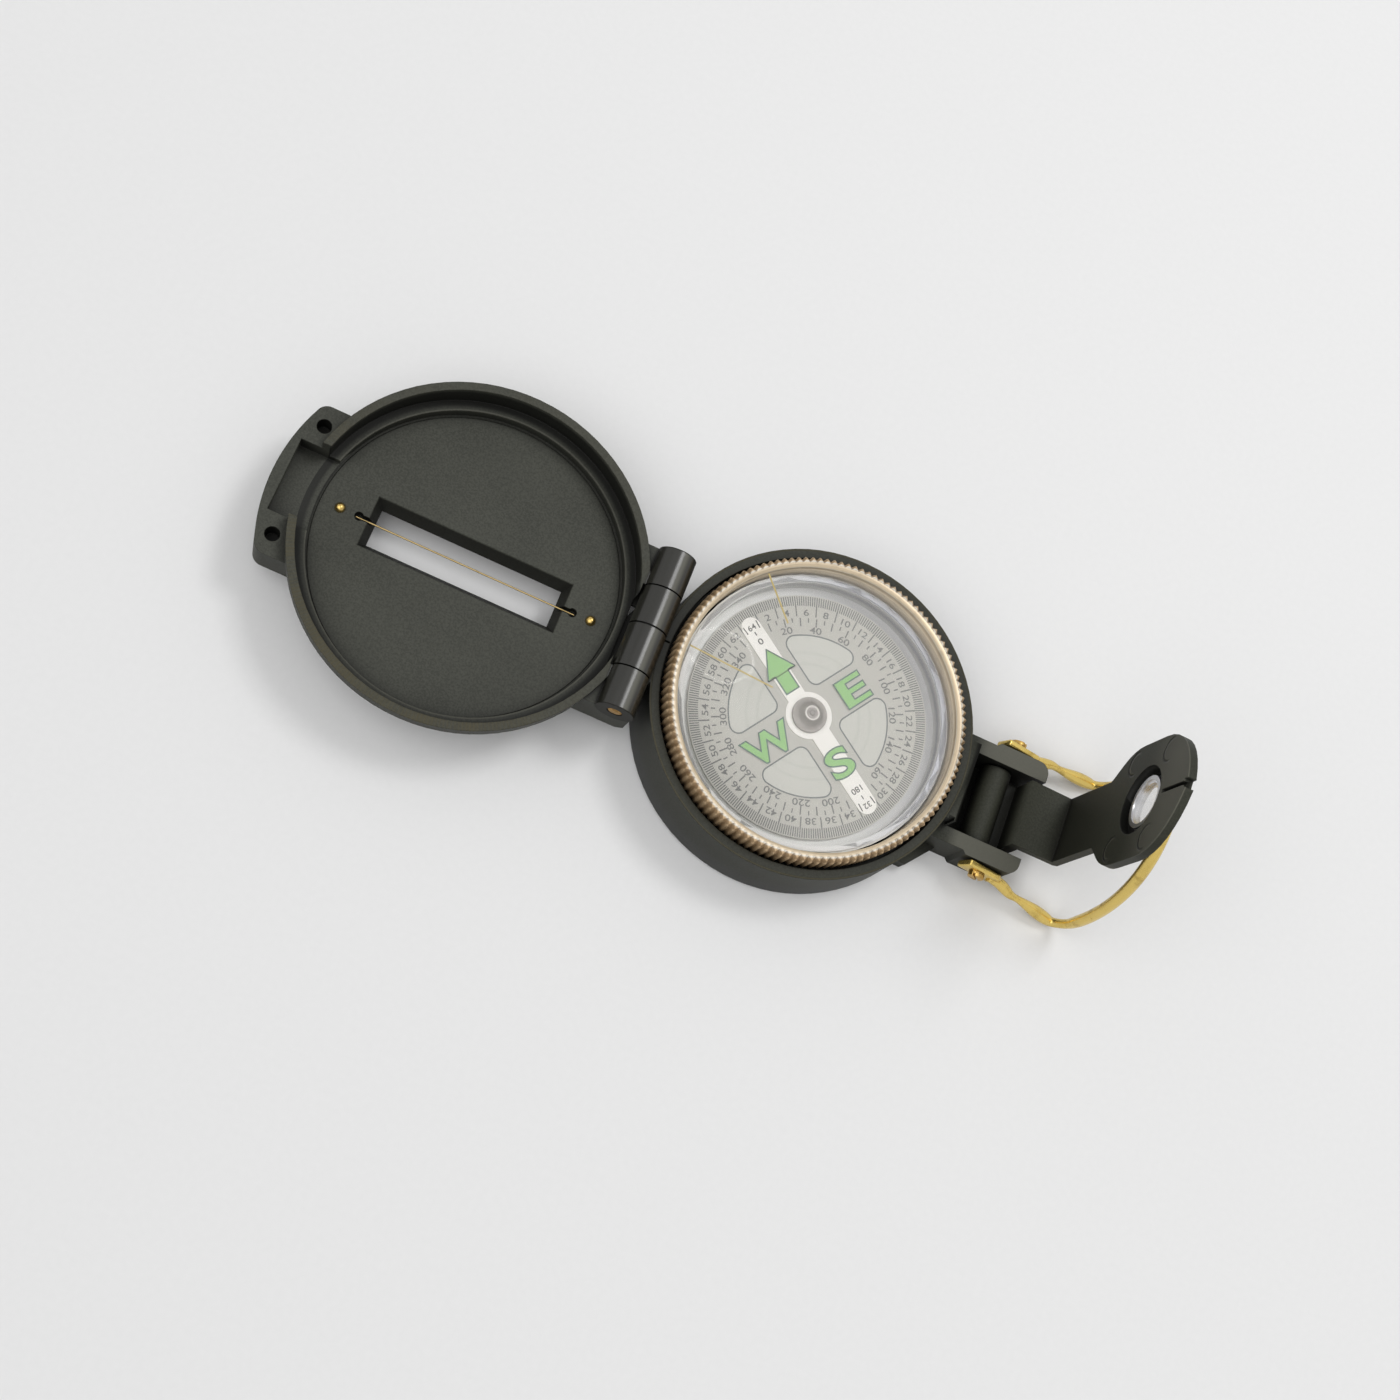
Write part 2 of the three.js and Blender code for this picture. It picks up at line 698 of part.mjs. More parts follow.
// Eyepiece bracket: barrel between the lugs, leg, and the upright plate with its round head
function headOutline() {
  const neckTop = foldTop + neckLength;
  const full = foldTop + headFull;
  const straightEnd = foldTop + headStraightEnd;
  const top = foldTop + headTop;
  const neckEase = legHalfWidth + shoulderEase;
  const crownEase = headTopHalf + crownRun;
  const outline = new THREE.Shape();
  outline.moveTo(-legHalfWidth, foldTop);
  outline.lineTo(legHalfWidth, foldTop);
  outline.lineTo(legHalfWidth, neckTop);
  outline.bezierCurveTo(neckEase, neckTop + shoulderRun, headHalfWidth, full - 2 * shoulderRun,
    headHalfWidth, full);
  outline.lineTo(headHalfWidth, straightEnd);
  outline.bezierCurveTo(headHalfWidth, straightEnd + crownRun, crownEase, top - shoulderEase,
    headTopHalf, top);
  outline.lineTo(-headTopHalf, top);
  outline.bezierCurveTo(-crownEase, top - shoulderEase, -headHalfWidth, straightEnd + crownRun,
    -headHalfWidth, straightEnd);
  outline.lineTo(-headHalfWidth, full);
  outline.bezierCurveTo(-headHalfWidth, full - 2 * shoulderRun, -neckEase, neckTop + shoulderRun,
    -legHalfWidth, neckTop);
  outline.closePath();
  return outline;
}

function eyepieceBracket() {
  const barrelEnd = lugInner - runningGap;
  const barrel = rodY(eyePivotX, eyePivotZ, eyeBarrelRadius, -barrelEnd, barrelEnd, 36);
  const barrelBottom = eyePivotZ - eyeBarrelRadius;
  const riserBack = legStart + riserThickness;
  const foldUnder = foldTop - legThickness;
  const side = shapeFrom([
    [eyePivotX, barrelBottom],
    [riserBack - riserChamfer, barrelBottom],
    [riserBack, barrelBottom + riserChamfer],
    [riserBack, foldUnder],
    [plateBack - foldChamfer, foldUnder],
    [plateBack, foldUnder + foldChamfer],
    [plateBack, foldTop + cutPast],
    [plateX, foldTop + cutPast],
    [plateX, foldTop],
    [legStart, legTop],
    [legStart, barrelBottom + riserThickness],
    [eyePivotX, barrelBottom + riserThickness],
  ]);
  const leg = across(side, -legHalfWidth, legHalfWidth);
  const plate = forward(headOutline(), plateX, plateBack, 8);
  const boss = rodX(0, lensZ, lensBossRadius, plateBack - joinInto, plateBack + lensBossDepth, 48);
  const body = join([barrel, leg, plate, boss]);
  const recess = rodX(0, lensZ, lensRecessRadius, plateX - cutPast, plateBack, 48);
  const seat = rodX(0, lensZ, lensSeatRadius, plateX, plateBack + lensBossDepth + cutPast, 48);
  const slotTop = foldTop + headTop;
  const slot = block(plateX - cutPast, plateX + plateThickness / 2, -sightSlotWidth / 2, sightSlotWidth / 2,
    foldTop + sightSlotStart, slotTop + cutPast);
  const notch = block(plateX - cutPast, plateBack + cutPast, -sightNotchWidth / 2, sightNotchWidth / 2,
    slotTop - sightNotchDepth, slotTop + cutPast);
  const pinHole = rodY(eyePivotX, eyePivotZ, eyePinRadius + runningGap, -lugInner, lugInner, 20);
  return cut(body, [recess, seat, slot, notch, pinHole]);
}

function eyepiecePin() {
  return rodY(eyePivotX, eyePivotZ, eyePinRadius, -eyePinEnd, eyePinEnd, 20);
}

// Solids turned about the lens axis, from [radius, distance behind the plate's front face]
function lensTurned(profile, segments) {
  return turned(profile, segments).rotate([0, 90, 0]).translate([plateX, 0, lensZ]);
}

function lensRing() {
  const inner = lensRingRadius - lensRingWall;
  const back = plateThickness + lensBossDepth;
  return lensTurned([
    [inner, lensInset],
    [lensRingRadius, lensInset],
    [lensRingRadius, back],
    [inner + lensRingBevel, back],
    [inner, lensInset + lensRingBevel],
    [inner, lensInset],
  ], 48);
}

function lensGlass() {
  const inner = lensRingRadius - lensRingWall - runningGap;
  const front = lensInset + lensBulge;
  const back = front + lensThickness;
  const middle = inner / 2;
  return lensTurned([
    [0, front],
    [middle, front + lensBulge / 4],
    [inner, front + lensBulge],
    [inner, back - lensBulge],
    [middle, back - lensBulge / 4],
    [0, back],
  ], 36);
}

// Thumb ring, in its own frame: origin on the pivot axis, arms along +X
class RingLoop extends THREE.Curve {
  getPoint(t, target = new THREE.Vector3()) {
    const angle = Math.PI * t;
    const along = Math.sin(angle);
    const x = ringArmLength + ringLoopBulge * along - (ringLoopBulge + ringLoopLean) * along ** 2;
    return target.set(x, -Math.cos(angle) * ringArmY, -ringArmDrop + along * ringLoopHeight);
  }
}

function wireRun(curve, steps) {
  const section = new THREE.Shape();
  const sides = 8;
  for (let i = 0; i < sides; i += 1) {
    const angle = (2 * Math.PI * i) / sides;
    const x = ringWireRadius * Math.cos(angle);
    const y = ringWireRadius * Math.sin(angle);
    if (i === 0) section.moveTo(x, y);
    else section.lineTo(x, y);
  }
  section.closePath();
  return solidOf(new THREE.ExtrudeGeometry(section, { steps, extrudePath: curve, bevelEnabled: false }));
}

function ringArmPath() {
  const slope = -ringArmDrop / ringArmLength;
  const at = (x, y) => new THREE.Vector3(x, y, slope * x);
  const plateEnd = at(ringPlateFront - ringWireRadius, ringPlateMiddle);
  const jogStart = at(ringPlateFront + 2 * ringWireRadius, ringPlateMiddle + joinInto);
  const jogEnd = at(ringJogLength, ringJogY);
  const armMiddle = at((ringJogLength + ringArmLength) / 2, (ringJogY + ringArmY) / 2);
  const bend = at(ringArmLength - ringWireRadius, ringArmY);
  const loopFoot = new RingLoop().getPoint(0.97);
  return new THREE.CatmullRomCurve3([plateEnd, jogStart, jogEnd, armMiddle, bend, loopFoot], false,
    'centripetal');
}

function thumbRing() {
  const slope = Math.atan2(ringArmDrop, ringArmLength);
  const half = ringPlateHeight / 2;
  const outline = new THREE.Shape();
  const cornerX = -ringPlateBack + half / 2;
  outline.moveTo(cornerX, -half);
  outline.lineTo(ringPlateFront, -half);
  outline.quadraticCurveTo(ringPlateFront + ringPlateNose, 0, ringPlateFront, half);
  outline.lineTo(cornerX, half);
  outline.quadraticCurveTo(-ringPlateBack, half, -ringPlateBack, half / 2);
  outline.lineTo(-ringPlateBack, -half / 2);
  outline.quadraticCurveTo(-ringPlateBack, -half, cornerX, -half);
  const screwHole = rodY(0, 0, screwShankRadius + runningGap, ringPlateInner - cutPast,
    ringPlateOuter + cutPast, 20);
  const plate = across(outline, ringPlateInner, ringPlateOuter, 4)
    .subtract(screwHole)
    .rotate([0, THREE.MathUtils.radToDeg(slope), 0]);
  const arm = wireRun(ringArmPath(), 20);
  const loop = wireRun(new RingLoop(), 36);
  const side = plate.add(arm);
  return join([side, mirrored(side), loop]);
}

function ringScrew(side) {
  const headStart = ringPlateOuter + screwSeatGap;
  const headEnd = headStart + screwHeadHeight;
  const head = rodY(0, 0, screwHeadRadius, headStart, headEnd, 24);
  const shank = rodY(0, 0, screwShankRadius, headStart - screwLength, headStart + joinInto, 16);
  const slot = block(-screwHeadRadius - cutPast, screwHeadRadius + cutPast, headEnd - screwSlotDepth,
    headEnd + cutPast, -screwSlotWidth / 2, screwSlotWidth / 2).rotate([0, screwSlotTilt, 0]);
  const screw = head.add(shank).subtract(slot);
  return side > 0 ? screw : mirrored(screw);
}

// The compass, in four groups that share the case's frame
const compass = new THREE.Group();

const body = new THREE.Group();
body.add(
  meshOf('case_shell', caseShell(), blackPlastic),
  meshOf('capsule_cup', capsuleCup(), palePlastic),
  meshOf('capsule_seal', capsuleSeal(), sealRubber),
  meshOf('capsule_cover', capsuleCover(), clearPlastic),
  meshOf('pivot_post', pivotPost(), steel),
  meshOf('dial_card', dialCard(), dialCardStock),
  meshOf('needle_bar', needleBar(), whitePlastic),
  meshOf('dial_magnet', dialMagnet(), steel),
  meshOf('jewel_cup', jewelCup(), steel),
  meshOf('bezel_ring', bezelRing(), bezelMetal),
  meshOf('bezel_crystal', bezelCrystal(), clearPlastic),
  meshOf('bezel_spring', bezelSpring(), steel),
  meshOf('lid_hinge_pin', lidHingePin(), hingeBrass),
);

const lid = new THREE.Group();
lid.position.set(lidCentreX, 0, 0);
lid.add(
  meshOf('lid_shell', lidShell(), blackPlastic),
  meshOf('sight_wire', sightWire(), ringBrass),
  meshOf('wire_bead_hinge_side', anchorBead(1), ringBrass),
  meshOf('wire_bead_tab_side', anchorBead(-1), ringBrass),
);

const eyepiece = new THREE.Group();
eyepiece.add(
  meshOf('eyepiece_bracket', eyepieceBracket(), blackPlastic),
  meshOf('eyepiece_pin', eyepiecePin(), steel),
  meshOf('lens_ring', lensRing(), silverTrim),
  meshOf('lens_glass', lensGlass(), lensGlassFinish),
);

const thumb = new THREE.Group();
thumb.position.set(ringPivotX, 0, ringPivotZ);
thumb.add(
  meshOf('thumb_ring', thumbRing(), ringBrass),
  meshOf('ring_screw_left', ringScrew(1), ringBrass),
  meshOf('ring_screw_right', ringScrew(-1), ringBrass),
);

compass.add(body, lid, eyepiece, thumb);

export default compass;
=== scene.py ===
# %% [markdown]
# # A folding sighting compass
#
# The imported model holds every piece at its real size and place, in metres, with +Z up. This lesson gives
# the pieces their looks: moulded black plastic, a knurled metal bezel, clear covers, a printed dial and a
# bent brass loop. Sizes are written in millimetres and turned into metres by one factor, because the
# object is small and whole numbers are easier to check against a ruler.

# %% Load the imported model
import math

import bpy
from mathutils import Matrix, Vector


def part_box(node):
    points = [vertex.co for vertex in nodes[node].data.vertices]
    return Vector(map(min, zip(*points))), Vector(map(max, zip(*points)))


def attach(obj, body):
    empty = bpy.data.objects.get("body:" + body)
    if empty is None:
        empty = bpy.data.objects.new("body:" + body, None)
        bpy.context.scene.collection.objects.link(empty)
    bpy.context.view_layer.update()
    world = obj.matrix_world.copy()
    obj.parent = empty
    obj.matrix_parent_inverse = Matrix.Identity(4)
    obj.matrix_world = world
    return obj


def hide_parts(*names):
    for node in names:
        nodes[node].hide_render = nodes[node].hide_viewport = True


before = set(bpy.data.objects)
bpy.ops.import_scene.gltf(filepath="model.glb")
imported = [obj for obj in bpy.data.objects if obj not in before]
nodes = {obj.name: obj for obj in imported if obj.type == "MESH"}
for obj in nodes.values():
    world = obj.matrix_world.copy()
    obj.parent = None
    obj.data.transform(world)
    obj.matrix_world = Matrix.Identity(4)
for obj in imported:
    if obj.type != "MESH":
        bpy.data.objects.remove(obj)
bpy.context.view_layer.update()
mm = 0.001

# %% [markdown]
# The camera stands where the photographer stood. Its place and turn were fitted to the round rims, which
# show as ellipses, so the lens is a moderate one and the far rim is only a little smaller than the near
# one. A focal length in pixels becomes millimetres through the sensor's width.

# %% Camera
photo_pixels = 1400
focal_pixels = 1903.91
sensor_width = 36.0
camera_place = (-0.062579, -0.101967, 0.295723)
camera_turn = (0.245617, -0.261908, 0.366193)

bpy.ops.object.camera_add(location=camera_place, rotation=camera_turn)
camera = bpy.context.object
camera.data.sensor_width = sensor_width
camera.data.lens = focal_pixels / photo_pixels * sensor_width
camera.data.clip_start = 0.01
bpy.context.scene.camera = camera
print("lens in mm", round(camera.data.lens, 2))

# %% [markdown]
# A shader is easier to read as a formula than as a web of nodes. A Signal stands for the number that
# comes out of a node, and arithmetic on it adds Math nodes. A soft step between two levels, and a bump of 1
# round a middle, are the two shapes that most marks are made of.

# %% Signals
class Signal:
    """The output of a node, which takes part in Python arithmetic."""

    def __init__(self, finish, socket):
        self.finish = finish
        self.socket = socket

    def math(self, operation, *values):
        return self.finish.node("ShaderNodeMath", {"operation": operation}, dict(enumerate(values)))

    def __add__(self, other):
        return self.math("ADD", self, other)

    def __radd__(self, other):
        return self.math("ADD", other, self)

    def __sub__(self, other):
        return self.math("SUBTRACT", self, other)

    def __rsub__(self, other):
        return self.math("SUBTRACT", other, self)

    def __mul__(self, other):
        return self.math("MULTIPLY", self, other)

    def __rmul__(self, other):
        return self.math("MULTIPLY", other, self)

    def __truediv__(self, other):
        return self.math("DIVIDE", self, other)

    def __pow__(self, power):
        return self.math("POWER", self, power)

    def __abs__(self):
        return self.math("ABSOLUTE", self)

    def above(self, edge, softness):
        """0 below the edge and 1 above it, over a soft step."""
        return self.finish.node(
            "ShaderNodeMapRange",
            {"interpolation_type": "SMOOTHSTEP"},
            {"Value": self, "From Min": edge - softness, "From Max": edge + softness},
        )

    def below(self, edge, softness):
        return 1 - self.above(edge, softness)

    def near(self, middle, reach):
        """1 at the middle, falling to 0 at its reach on either side."""
        return abs(self - middle).below(reach / 2, reach / 2)


# %% [markdown]
# A Formula is a node tree that is being written. Its node method makes any node from a type, its settings
# and the values of its sockets. A Finish is the Formula of one material, and knows the patterns that this
# object needs: its own axes, the distance from a middle, noise, mixes and bumps.

# %% Formulas and finishes
class Formula:
    """A node tree that is being written. Its node method makes one node and gives its output."""

    def __init__(self, tree):
        self.tree = tree

    def feed(self, socket, value):
        if isinstance(value, Signal):
            self.tree.links.new(value.socket, socket)
        else:
            socket.default_value = value

    def node(self, kind, settings=None, sockets=None, output=0):
        made = self.tree.nodes.new(kind)
        for name, value in (settings or {}).items():
            setattr(made, name, value)
        for key, value in (sockets or {}).items():
            self.feed(made.inputs[key], value)
        return Signal(self, made.outputs[output])

    def seen_directly(self):
        """1 for the rays of the camera, of mirrors and of glass, and 0 for scattered light."""
        straight = [self.node("ShaderNodeLightPath", output="Is " + ray + " Ray")
                    for ray in ("Camera", "Glossy", "Transmission")]
        return self.node("ShaderNodeClamp", sockets={0: straight[0] + straight[1] + straight[2]})


class Finish(Formula):
    """A material with one Principled shader."""

    def __init__(self, name, **fixed):
        self.material = bpy.data.materials.new(name)
        self.material.use_nodes = True
        super().__init__(self.material.node_tree)
        self.shader = self.tree.nodes["Principled BSDF"]
        for socket_name, value in fixed.items():
            self.shader.inputs[socket_name.replace("_", " ")].default_value = value

    def place(self):
        return self.node("ShaderNodeTexCoord", output="Object")

    def axes(self):
        return [self.node("ShaderNodeSeparateXYZ", sockets={0: self.place()}, output=name)
                for name in "XYZ"]

    def facing(self, axis):
        """How far the surface faces along one axis of its own piece, from -1 to 1."""
        normal = self.node("ShaderNodeTexCoord", output="Normal")
        return self.node("ShaderNodeSeparateXYZ", sockets={0: normal}, output=axis)

    def distance(self, first, second, middle=(0, 0)):
        """How far a point lies from the middle, in the plane of two axes."""
        across = first - middle[0]
        along = second - middle[1]
        return (across * across + along * along) ** 0.5

    def noise(self, scale, detail=2.0, roughness=0.5, stretch=(1, 1, 1)):
        spread = self.node("ShaderNodeMapping", sockets={"Vector": self.place(), "Scale": stretch})
        return self.node(
            "ShaderNodeTexNoise",
            sockets={"Vector": spread, "Scale": scale, "Detail": detail, "Roughness": roughness},
        )

    def mix(self, factor, first, second):
        return self.node("ShaderNodeMix", {"data_type": "RGBA"}, {0: factor, 6: first, 7: second}, output=2)

    def bump(self, height, strength, depth, under=None):
        sockets = {"Height": height, "Strength": strength, "Distance": depth}
        if under:
            sockets["Normal"] = under
        return self.node("ShaderNodeBump", sockets=sockets)

    def surface(self, **fed):
        for socket_name, value in fed.items():
            self.feed(self.shader.inputs[socket_name.replace("_", " ")], value)
        return self.material


# %% [markdown]
# Colours are picked as on the web. A shader counts light and not screen values, so each part of the colour
# is made linear first.

# %% Colours
def hexed(code):
    """A colour written as on the web, turned into the linear numbers that a shader uses."""
    parts = [int(code[i:i + 2], 16) / 255 for i in (0, 2, 4)]
    linear = [part / 12.92 if part < 0.04045 else ((part + 0.055) / 1.055) ** 2.4 for part in parts]
    return (*linear, 1.0)


# %% [markdown]
# The stage is a pale floor. The camera, mirrors and glass see the sky as the same pale grey as the floor.
# The light itself comes mostly from above: the sky fades towards the horizon, so that upright faces stay
# dark, a wide sun softens the shadows, and a window up to the right draws the bright stripe along every
# round black piece.

# %% Stage and light
background = hexed("e6e6e6")
sky_low = 0.1
sky_high = 0.97
window_spot = Vector((0.22, 0.3, 0.75))

bpy.context.scene.view_settings.view_transform = "Standard"

world = bpy.context.scene.world or bpy.data.worlds.new("sky")
bpy.context.scene.world = world
world.use_nodes = True
sky = Formula(world.node_tree)
up = sky.node("ShaderNodeSeparateXYZ", sockets={0: sky.node("ShaderNodeTexCoord")}, output="Z")
daylight = sky.node("ShaderNodeMapRange", sockets={"Value": up, "To Min": sky_low, "To Max": sky_high})
seen = sky.seen_directly()
dome = world.node_tree.nodes["Background"]
dome.inputs["Color"].default_value = background
sky.feed(dome.inputs["Strength"], seen + (1 - seen) * daylight)

bpy.ops.mesh.primitive_plane_add(size=4)
floor = bpy.context.object
floor.name = "floor"
paper = Finish("floor_paper", Roughness=0.9)
paper_grain = paper.noise(900, detail=3)
pale_paper = paper.mix(paper_grain, hexed("dfdfdf"), hexed("e3e3e3"))
floor.data.materials.append(
    paper.surface(Base_Color=paper.mix(paper.seen_directly(), hexed("707070"), pale_paper))
)

bpy.ops.object.light_add(type="SUN", rotation=(math.radians(20), math.radians(-22), 0))
sun = bpy.context.object
sun.data.energy = 1.15
sun.data.angle = math.radians(60)

bpy.ops.object.light_add(type="AREA", location=window_spot)
window_lamp = bpy.context.object
window_lamp.data.size = 0.24
window_lamp.data.energy = 1.75
window_lamp.rotation_euler = window_spot.to_track_quat("Z", "Y").to_euler()

# %% [markdown]
# Most pieces repeat the same few steps: pick one object and nothing else, pick faces by their place, put
# a finished piece on its body. These helpers keep those steps short. A finished piece always has its
# origin at the world's origin, so that patterns on it stay still when a joint moves.

# %% Helpers for modelling
def only(*objects):
    """Selects these objects and makes the first one active."""
    bpy.ops.object.select_all(action="DESELECT")
    for item in objects:
        item.select_set(True)
    bpy.context.view_layer.objects.active = objects[0]


def settle(piece):
    """Writes the object's place, turn and size into its mesh."""
    only(piece)
    bpy.ops.object.transform_apply(location=True, rotation=True, scale=True)
    return piece


def merged(pieces, name):
    only(*pieces)
    if len(pieces) > 1:
        bpy.ops.object.join()
    piece = bpy.context.object
    piece.name = name
    return settle(piece)


def edit(piece, mode="VERT"):
    only(piece)
    bpy.ops.object.mode_set(mode="EDIT")
    bpy.ops.mesh.select_mode(type=mode)
    bpy.ops.mesh.select_all(action="DESELECT")


def done():
    bpy.ops.object.mode_set(mode="OBJECT")


def choose(piece, wanted, kind="vertices"):
    """Selects the vertices or faces for which wanted(place) is true. It is called in edit mode."""
    bpy.ops.mesh.select_all(action="DESELECT")
    bpy.ops.object.mode_set(mode="OBJECT")
    for element in getattr(piece.data, kind):
        spot = element.co if kind == "vertices" else element.center
        element.select = bool(wanted(spot))
    bpy.ops.object.mode_set(mode="EDIT")


def smooth(piece, angle=32):
    only(piece)
    bpy.ops.object.shade_smooth_by_angle(angle=math.radians(angle))


def outward(piece):
    """Merges doubles and turns every face to point out."""
    edit(piece)
    bpy.ops.mesh.select_all(action="SELECT")
    bpy.ops.mesh.remove_doubles(threshold=0.002 * mm)
    bpy.ops.mesh.normals_make_consistent(inside=False)
    done()


def apply_all(piece):
    only(piece)
    for modifier in list(piece.modifiers):
        bpy.ops.object.modifier_apply(modifier=modifier.name)


def dress(piece, body, material, slot, *replaced):
    """Gives a piece its finish, its body and the nodes that it stands for."""
    if material:
        piece.data.materials.clear()
        piece.data.materials.append(material)
    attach(piece, body)
    if replaced:
        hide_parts(*replaced)
    return piece


def lathe(name, profile, steps):
    """Spins a profile of (radius, height) corners in mm about the vertical axis."""
    bpy.ops.mesh.primitive_circle_add(vertices=len(profile), radius=mm)
    piece = bpy.context.object
    piece.name = name
    for vertex, (radius, height) in zip(piece.data.vertices, profile):
        vertex.co = (radius * mm, 0, height * mm)
    edit(piece)
    bpy.ops.mesh.select_all(action="SELECT")
    bpy.ops.mesh.spin(steps=steps, angle=2 * math.pi, center=(0, 0, 0), axis=(0, 0, 1))
    done()
    outward(piece)
    return piece


# %% [markdown]
# The case, the lid and the eyepiece are one kind of moulded black plastic. A mould leaves a fine even
# grain, broad patches of slightly different gloss, and corners that are a little round. The grain is a
# bump and not geometry, because its bumps are a tenth of a millimetre wide. A Bevel node rounds the
# shading of every edge, which gives each corner the thin light line that real plastic has. The hinge's
# knuckles are worn smooth, so they are darker and glossier, with fine scratches along the hinge. A painted
# highlight stripe runs along each knuckle, and painted shade darkens the corners and hollows that an
# Ambient Occlusion node finds.

# %% Moulded plastic
pin_low, pin_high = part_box("lid_hinge_pin")
hinge_axis = ((pin_low.x + pin_high.x) / 2, (pin_low.z + pin_high.z) / 2)
knuckle_radius = 3.2 * mm
knuckle_reach = 3.4 * mm
hinge_end = 13.95 * mm
edge_round = 0.22 * mm
corner_reach = 5 * mm
worn_black = hexed("12110b")
# Painted highlight grey: for the knuckles' stripe, the lid's lip, the lugs' tops and the eyepiece plate's
# top.
painted_highlight_grey = hexed("68675d")
# Near black for painted shade in corners, hollows and on faces turned from the light, and for fine grooves.
shade_and_groove_black = hexed("060604")
dust_brown = hexed("4a442f")


def moulded(name, dark, light, marks):
    finish = Finish(name, Specular_IOR_Level=0.22, Coat_Roughness=0.2)
    x, y, z = finish.axes()
    grain = finish.noise(3000, detail=2, roughness=0.7)
    patches = finish.noise(60, detail=3)
    streaks = finish.noise(1500, detail=3, stretch=(1, 0.04, 1))
    from_hinge = finish.distance(x, z, hinge_axis)
    knuckle = from_hinge.below(knuckle_reach, 0.15 * mm)
    barrel = from_hinge.near(knuckle_radius, 0.2 * mm) * abs(y).below(hinge_end, 0.05 * mm)
    tone = patches.above(0.5, 0.25) * 0.35 + grain.above(0.5, 0.2) * 0.65
    colour = finish.mix(tone, dark, light)
    colour, cuts, corner_shade = marks(finish, x, y, z, colour)
    colour = finish.mix(knuckle * (0.75 + streaks * 0.25), colour, worn_black)
    # Painted highlight: a lighter stripe along the lit side of each knuckle.
    painted_stripe = barrel * (x - hinge_axis[0]).near(1.0 * mm, 0.9 * mm)
    colour = finish.mix(painted_stripe * 0.6, colour, painted_highlight_grey)
    # Painted shade: where the Ambient Occlusion node finds a corner or hollow, the colour goes towards near
    # black.
    depth = finish.node("ShaderNodeAmbientOcclusion", {"samples": 8}, {"Distance": corner_reach}, output=1)
    colour = finish.mix(depth.below(0.62, 0.3) * corner_shade * 0.85, colour, shade_and_groove_black)
    rounded = finish.node("ShaderNodeBevel", {"samples": 6}, {"Radius": edge_round})
    grained = finish.bump(grain * (1 - knuckle * 0.8), 0.3, 0.05 * mm, rounded)
    return finish.surface(
        Base_Color=colour,
        Roughness=0.46 + patches * 0.12 + grain * 0.08 - barrel * (0.2 - streaks * 0.2),
        Coat_Weight=barrel * (0.35 + streaks * 0.9),
        Normal=finish.bump(1 - cuts, 0.8, 0.25 * mm, grained),
    )


# %% [markdown]
# Each moulded part has its own marks. The lid has a fine dark line round its floor and a dusty brown rim
# that is hatched at the lower left; its lip gets a painted highlight, and its inner wall and the long low
# block along its middle get painted shade. The case has a brown line round its top edge, a paler painted
# reflection of the floor along its foot, painted highlights on the tops of its lugs and painted shade in
# the well between them. The eyepiece has four small rings round the lens, each drawn as painted shade with
# a painted highlight just inside it, on its lower, lit half only. Painted shade fills the recess round the
# lens and darkens the eyepiece's low front faces, and a painted highlight lightens the top of its plate.

# %% Marks in the plastic
case_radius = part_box("case_shell")[1].y
lid_axis = (-60.14 * mm, 0)
rim_level = 13.9 * mm
floor_line = 24.95 * mm
lip_radius = 25.45 * mm
wall_inner = 26.1 * mm
wall_outer = 27.3 * mm
wall_top = 13.4 * mm
block_half_length = 17.35 * mm
block_half_width = 4.95 * mm
block_top = 7.7 * mm
lens_low, lens_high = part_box("lens_ring")
lens_level = (lens_low.z + lens_high.z) / 2
plate_front = 47.3 * mm
ring_across = 7.3 * mm
ring_above = 5.6 * mm
# Painted reflection: a paler grey for the floor's light along the case's foot.
painted_reflection_grey = hexed("6c6c72")
# Painted highlight for the eyepiece's small rings.
painted_ring_highlight = hexed("5c5c52")


def lid_marks(finish, x, y, z, colour):
    radius = finish.distance(x, y, lid_axis)
    turn = y.math("ARCTAN2", y, x - lid_axis[0])
    rim = z.above(rim_level, 0.1 * mm)
    left = (x * 0.6 + y).below(-42 * mm, 12 * mm)
    dust = rim * finish.noise(220, detail=3).above(0.45, 0.25) * (0.3 + left * 0.7)
    waves = turn * 300
    hatch = waves.math("SINE", waves).above(0.3, 0.6) * rim * left
    line = radius.near(floor_line, 0.11 * mm) * z.below(9 * mm, 0.3 * mm)
    # Painted shade in the long low block along the middle, and on the inner wall.
    block_shade = abs(x - lid_axis[0]).below(block_half_length, 0.1 * mm)
    block_shade = block_shade * abs(y).below(block_half_width, 0.1 * mm) * z.below(block_top, 0.1 * mm)
    wall_shade = radius.above(wall_inner, 0.35 * mm) * radius.below(wall_outer, 0.05 * mm)
    wall_shade = wall_shade * z.below(wall_top, 0.5 * mm)
    # Painted highlight along the lip.
    lip_highlight = radius.near(lip_radius, 0.28 * mm) * z.above(9.6 * mm, 0.1 * mm)
    colour = finish.mix(dust * 0.5 + hatch * 0.2, colour, dust_brown)
    colour = finish.mix(lip_highlight * 0.5, colour, painted_highlight_grey)
    colour = finish.mix(line * 0.5 + block_shade * 0.75 + wall_shade * 0.8, colour, shade_and_groove_black)
    return colour, line + hatch * 0.1, 1


